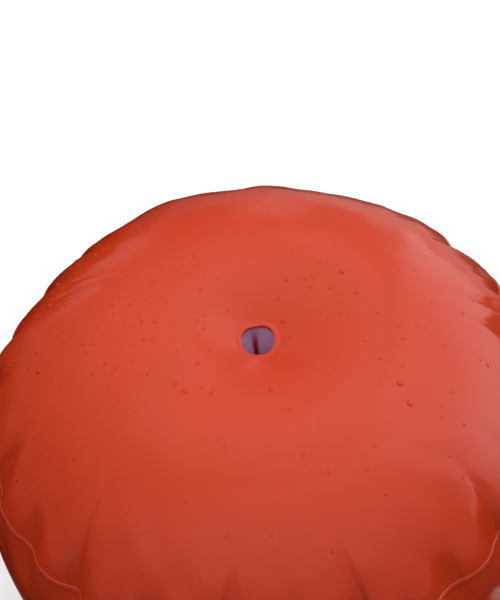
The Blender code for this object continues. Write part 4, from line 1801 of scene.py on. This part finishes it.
@dataclass(frozen=True)
class Water:
    """Drops of water on the coat, with painted light: a lighter middle, and painted shade round
    the rim that is darkest on the side away from the light.

    Attributes:
        lit_colour: Painted light: the coat's colour, a little lighter, through the middle of a
            drop.
        drop_shade_colour: Painted shade: the coat's colour through the dark rim of a drop.
        drop_shade_way: The way that the side with the most painted shade faces.
    """

    name: str = "water_on_coat"
    lit_colour: Colour = (0.615, 0.047, 0.0115)
    # Painted shade on the drops' rims, and the way that their darkest side faces.
    drop_shade_colour: Colour = (0.42, 0.022, 0.008)
    drop_shade_way: tuple[float, float, float] = (-0.45, -0.80, 0.20)

    def build(self) -> Material:
        """Make the material."""
        drop = Surface(self.name)
        tree = drop.tree
        normal = tree.add("TexCoord").outputs["Normal"]
        rim = tree.span(tree.vector("LENGTH", drop.cut), 0.60, 0.90)
        facing = tree.span(tree.vector("DOT_PRODUCT", normal, self.drop_shade_way), 0.0, 0.40, 0.55, 1.0)
        uneven = tree.span(tree.noise(drop.place, 300.0, 1.0), 0.3, 0.7, 0.8, 1.0)
        # Painted shade: a dark rim round each drop, strongest on the side turned from the light.
        dark = tree.times(tree.times(rim, facing), uneven)
        rough = tree.span(tree.noise(drop.place, 260.0, 1.0), 0.3, 0.7, 0.02, 0.08)
        return drop.dress(tree.blend(dark, self.lit_colour, self.drop_shade_colour), rough,
                          plain={"IOR": 1.33})


# Studio.


class Glow:
    """A material in the making that only glows, with levels that follow lists of stops."""

    def __init__(self, name: str) -> None:
        """Start a material by its name."""
        self.material = bpy.data.materials.new(name)
        self.material.use_nodes = True
        self.material.node_tree.nodes.clear()
        self.tree = Tree(self.material.node_tree)
        self.way = self.tree.add("TexCoord").outputs["Object"]

    def along(self, value: Socket, stops: Stops) -> Socket:
        """A level that follows a value from 0 to 1."""
        ramp = self.tree.add("ValToRGB", {0: value})
        marks = ramp.color_ramp.elements
        while len(marks) < len(stops):
            marks.new(0.5)
        for mark, (place, level) in zip(marks, stops):
            mark.position = place
            mark.color = (level, level, level, 1.0)
        return ramp.outputs[0]

    def round(self, stops: Stops) -> Socket:
        """A level that follows the azimuth in degrees."""
        turn = self.tree.math("ARCTAN2", self.tree.axis(self.way, "Y"),
                              self.tree.axis(self.way, "X"))
        turn = self.tree.times(turn, 0.5 / math.pi, 0.5)
        return self.along(turn, tuple((stop / 360.0 + 0.5, level) for stop, level in stops))

    def put_on(self, piece: Object, level: Socket) -> None:
        """Finish the material and show the piece to polished surfaces alone."""
        emission = self.tree.add("Emission", {"Strength": level})
        self.tree.add("OutputMaterial", {0: emission.outputs[0]})
        piece.data.materials.append(self.material)
        piece.visible_camera = piece.visible_diffuse = piece.visible_shadow = False
        piece.visible_transmission = piece.visible_volume_scatter = False


@dataclass
class Studio:
    """A pale floor, a bright room round it, soft lamps and the camera.

    Attributes:
        room_rise: Level of the room by rise.
        room_low: Its level by azimuth below, where the rim mirrors it.
        room_high: The same higher up.
        window_rise: Level of the window at the side by rise.
        window_round: The same by azimuth.
        window_lift: Where the window starts above a sill.
        patches: Brighter patches of the room, each by azimuth and by rise.
        skirt: How dark the foot of the room is, by azimuth.
        apron: Inner and outer radius of the dark mat that the rim mirrors.
        apron_dark: Level of the mat's dark side by distance.
        apron_pale: Level of its pale side.
        apron_dim: How much of the dark side's level is left, by azimuth.
        apron_near: How pale the mat is near the float, by azimuth.
        apron_far: The same farther off.
        sky_level: Light from all round on plain surfaces.
        top_lamp: Width, height and power of the lamp overhead.
        side_lamp: Width, distance and power of the lamp at the side.
        side_turn: Azimuth and rise of the side lamp in degrees.
    """

    floor_size: float = 14.0
    room_radius: float = 5.0
    room_rise: Stops = (
        (0.0, 0.24), (0.17, 0.24), (0.34, 0.29), (0.50, 0.41), (0.64, 0.59), (0.77, 0.66),
        (0.87, 0.72), (0.95, 0.64), (1.0, 0.52))
    room_low: Stops = (
        (-180, 0.52), (-150, 0.8), (-120, 1.0), (60, 0.95), (72, 0.85), (88, 0.88), (92, 0.80),
        (98, 0.66), (103, 0.70), (107, 0.92), (112, 0.84), (118, 0.79), (126, 0.78),
        (134, 0.72), (140, 0.69), (148, 0.68), (160, 0.60), (180, 0.52))
    room_high: Stops = (
        (-180, 0.52), (-150, 0.8), (-120, 1.0), (60, 1.0), (74, 1.12), (84, 1.16), (94, 1.04),
        (110, 0.93), (126, 0.85), (140, 0.70), (148, 0.68), (180, 0.52))
    window_rise: Stops = (
        (0.0, 0.95), (0.17, 1.10), (0.34, 1.12), (0.50, 0.90), (0.64, 0.52), (0.77, 0.50),
        (0.87, 0.42), (0.96, 0.05), (1.0, 0.0))
    window_round: Stops = (
        (-180, 0.0), (-20, 0.0), (-5, 0.9), (6, 1.30), (22, 1.20), (34, 1.05), (55, 1.0),
        (59, 0.95), (63, 0.36), (66, 0.18), (80, 0.05), (95, 0.0))
    window_lift: Stops = ((-180, 1.0), (28, 1.0), (33, 0.0))
    patches: tuple[tuple[Stops, Stops], ...] = (
        (((-180, 0.0), (79, 0.0), (82, 0.8), (86, 1.0), (89, 0.75), (92.5, 0.0)),
         ((0.0, 0.16), (0.09, 0.26), (0.26, 0.34), (0.37, 0.34), (0.48, 0.10), (0.56, 0.0))),
        (((-180, 0.0), (104, 0.0), (107, 0.7), (111, 1.0), (122, 1.0), (127, 0.3), (134, 0.0)),
         ((0.0, 0.0), (0.05, 0.02), (0.14, 0.17), (0.24, 0.24), (0.30, 0.28), (0.36, 0.12),
          (0.46, 0.0))),
        (((-180, 0.0), (67, 0.0), (74, 1.0), (82, 0.8), (88, 0.0)),
         ((0.0, 0.0), (0.50, 0.0), (0.60, 0.16), (0.72, 0.16), (0.82, 0.0))),
        (((-180, 0.0), (58, 0.0), (62, 1.0), (67, 1.0), (72, 0.2), (80, 0.0)),
         ((0.0, 0.30), (0.08, 0.34), (0.14, 0.16), (0.20, 0.0))),
    )
    skirt: Stops = (
        (-180, 0.0), (-10, 0.0), (4, 0.8), (27, 0.8), (35, 0.0), (98, 0.0), (106, 0.75),
        (112, 1.0), (121, 1.0), (127, 0.6), (134, 0.2), (150, 0.0))
    apron: tuple[float, float] = (0.165, 4.9)
    apron_dark: Stops = ((0.0, 0.0), (0.21, 0.0), (0.35, 0.05), (0.60, 0.10), (1.0, 0.16))
    apron_pale: Stops = (
        (0.0, 0.0), (0.10, 0.06), (0.125, 0.18), (0.139, 0.38), (0.162, 0.45), (0.206, 0.54),
        (0.55, 0.62), (1.0, 0.70))
    apron_dim: Stops = (
        (-180, 0.4), (-150, 1.0), (60, 1.0), (102, 0.3), (110, 0.0), (122, 0.0), (129, 0.9),
        (140, 0.9), (147, 0.4))
    apron_near: Stops = (
        (-180, 0.0), (33, 0.0), (42, 0.9), (56, 1.0), (66, 0.85), (74, 0.85), (90, 0.42),
        (104, 0.12), (112, 0.0))
    apron_far: Stops = (
        (-180, 0.0), (33, 0.0), (42, 1.2), (54, 1.6), (60, 1.4), (66, 0.95), (74, 0.85),
        (90, 0.42), (104, 0.12), (112, 0.0))
    sky_level: float = 0.28
    top_lamp: tuple[float, float, float] = (2.0, 2.2, 39.5)
    side_lamp: tuple[float, float, float] = (1.3, 2.0, 5.0)
    side_turn: tuple[float, float] = (20.0, 25.0)
    lens: float = 75.4
    eye: tuple[float, float, float] = (0.0, -0.49805, 0.87963)
    forward: tuple[float, float, float] = (-0.00298, 0.64476, -0.76438)
    right: tuple[float, float, float] = (0.99437, -0.07905, -0.07056)

    @staticmethod
    def seen_straight(tree: Tree) -> Socket:
        """1 for camera, glossy and transmitted rays, otherwise 0."""
        path = tree.add("LightPath").outputs
        both = tree.math("MAXIMUM", path["Is Camera Ray"], path["Is Glossy Ray"])
        return tree.math("MAXIMUM", both, path["Is Transmission Ray"])

    def light_world(self) -> None:
        """White as a background, and a plain soft light on everything."""
        world = bpy.data.worlds.new("pale_world")
        bpy.context.scene.world = world
        world.use_nodes = True
        tree = Tree(world.node_tree)
        background = world.node_tree.nodes["Background"].inputs
        background["Color"].default_value = (1.0, 1.0, 1.0, 1.0)
        tree.feed(background["Strength"],
                  tree.times(self.seen_straight(tree), 1.0 - self.sky_level, self.sky_level))

    def lay_floor(self) -> None:
        """A wide pale floor that keeps the shadow."""
        floor = primitive("grid", "studio_floor", size=self.floor_size, x_subdivisions=8,
                          y_subdivisions=8)
        paint = Surface("pale_floor")
        tree = paint.tree
        tone = tree.span(tree.noise(paint.place, 1.5), 0.2, 0.8, 0.60, 0.62)
        far = tree.span(tree.vector("LENGTH", paint.place), 1.1, 3.0, 0.47, 0.95)
        glow = tree.times(self.seen_straight(tree), far)
        base, light = (tree.add("CombineColor", {0: grey, 1: grey, 2: grey}).outputs[0]
                       for grey in (tone, glow))
        floor.data.materials.append(paint.dress(base, 0.95, plain={
            "Specular IOR Level": 0.0, "Emission Strength": 1.0, "Emission Color": light}))

    def raise_room(self) -> None:
        """The room overhead that polished surfaces mirror, with a wide window at the side."""
        room = primitive("uv_sphere", "studio_room", segments=48, ring_count=24,
                         radius=self.room_radius)
        with editing(room):
            bpy.ops.mesh.flip_normals()
        bpy.ops.object.shade_smooth()
        glow = Glow("room_glow")
        tree = glow.tree
        glow.way = tree.vector("NORMALIZE", glow.way)
        rise = tree.axis(glow.way, "Z")
        walls = tree.blend(tree.span(rise, 0.56, 0.72), glow.round(self.room_low),
                           glow.round(self.room_high))
        level = tree.times(glow.along(rise, self.room_rise), walls)
        sill = tree.times(glow.round(self.window_lift), tree.span(rise, 0.06, 0.12, 1.0, 0.0))
        window = tree.times(glow.along(rise, self.window_rise), tree.math("SUBTRACT", 1.0, sill))
        skirt = tree.times(glow.round(self.skirt), tree.span(rise, 0.0, 0.085, 1.0, 0.0))
        level = tree.times(level, tree.math("SUBTRACT", 1.0, skirt))
        level = tree.times(window, glow.round(self.window_round), level)
        for turn, heights in self.patches:
            shine = tree.times(glow.round(turn), glow.along(rise, heights))
            level = tree.math("ADD", level, shine)
        glow.put_on(room, level)

    def lay_apron(self) -> None:
        """A dark mat round the float that keeps its rim from mirroring the pale floor."""
        inner, outer = self.apron
        apron = primitive("circle", "dark_apron", vertices=64, radius=inner,
                          location=(0, 0, 0.002))
        with editing(apron):
            bpy.ops.mesh.extrude_edges_move()
            bpy.ops.transform.resize(value=(outer / inner, outer / inner, 1.0),
                                     center_override=(0, 0, 0))
        settle(apron)
        glow = Glow("apron_glow")
        tree = glow.tree
        length = tree.vector("LENGTH", glow.way)
        away = tree.math("DIVIDE", length, outer)
        side = tree.blend(tree.span(away, 0.18, 0.34), glow.round(self.apron_near),
                          glow.round(self.apron_far))
        dark = tree.times(glow.along(away, self.apron_dark), glow.round(self.apron_dim))
        level = tree.blend(side, dark, glow.along(away, self.apron_pale))
        glow.put_on(apron, tree.math("MAXIMUM", level, tree.span(length, 0.17, 0.26, 0.36, 0.0)))

    @staticmethod
    def hang_lamp(name: str, width: float, power: float, place: Vector) -> None:
        """Add one round soft lamp that faces the float's middle.

        Args:
            name: The lamp's name.
            width: Its width.
            power: Its power in watts.
            place: Where it hangs.
        """
        lamp = bpy.data.lights.new(name, "AREA")
        lamp.shape = "DISK"
        lamp.size = width
        lamp.energy = power
        piece = bpy.data.objects.new(name, lamp)
        piece.location = place
        way = Vector((0.0, 0.0, MIDDLE)) - place
        piece.rotation_euler = way.to_track_quat("-Z", "Y").to_euler()
        piece.visible_glossy = piece.visible_transmission = False
        bpy.context.scene.collection.objects.link(piece)

    def aim_camera(self) -> None:
        """Stand the camera where the float is looked down on from the front."""
        camera = bpy.data.cameras.new("camera")
        camera.lens = self.lens
        camera.sensor_width = 36.0
        piece = bpy.data.objects.new("camera", camera)
        back = -Vector(self.forward).normalized()
        side = Vector(self.right).normalized()
        side = (side - back * side.dot(back)).normalized()
        turn = Matrix((side, back.cross(side), back)).transposed().to_4x4()
        piece.matrix_world = Matrix.Translation(self.eye) @ turn
        bpy.context.scene.collection.objects.link(piece)
        bpy.context.scene.camera = piece

    def build(self) -> None:
        """Set up the whole studio."""
        bpy.context.scene.view_settings.view_transform = "Standard"
        self.light_world()
        self.lay_floor()
        self.raise_room()
        self.lay_apron()
        width, height, power = self.top_lamp
        self.hang_lamp("top_lamp", width, power, Vector((0.06, 0.30, height)))
        width, distance, power = self.side_lamp
        turn, rise = map(math.radians, self.side_turn)
        way = Vector((math.cos(turn) * math.cos(rise), math.sin(turn) * math.cos(rise),
                      math.sin(rise)))
        self.hang_lamp("side_lamp", width, power, Vector((0.0, 0.0, MIDDLE)) + way * distance)
        self.aim_camera()


def main() -> None:
    """Build the buoy and its studio, in order."""
    logging.basicConfig(level=logging.INFO, format="%(name)s: %(message)s")
    Studio().build()
    effects = Effects()
    skin = InflatedFloat()
    skin.build(CoatedSkin().build(effects))
    weld = WeldedCoat("weld_bead").build(effects)
    lip = WeldedCoat("lip_coat", press_height=0.0).build(effects)
    bore = Bore()
    for face in Face:
        SeamBead().build(skin, face, weld)
        bore.build_lip(skin, face, lip)
    bore.build_tube(skin, TubeSkin().build(effects))
    patch = WeldedCoat("patch_coat", press_pitch=0.0012, rib=False)
    Mooring().build(skin.profile, patch.build(effects), Webbing("black_webbing").build(effects),
                    Webbing("black_thread", pitch=0.0005, depth=0.00004).build(effects),
                    BrushedSteel().build(effects))
    cap = MouldedVinyl("cap_vinyl", (0.82, 0.81, 0.78), roughness=0.30)
    Valve().build(skin.profile, MouldedVinyl("valve_vinyl").build(effects), cap.build(effects))
    WaterBeads().build(skin, Water().build())


if __name__ == "__main__":
    main()
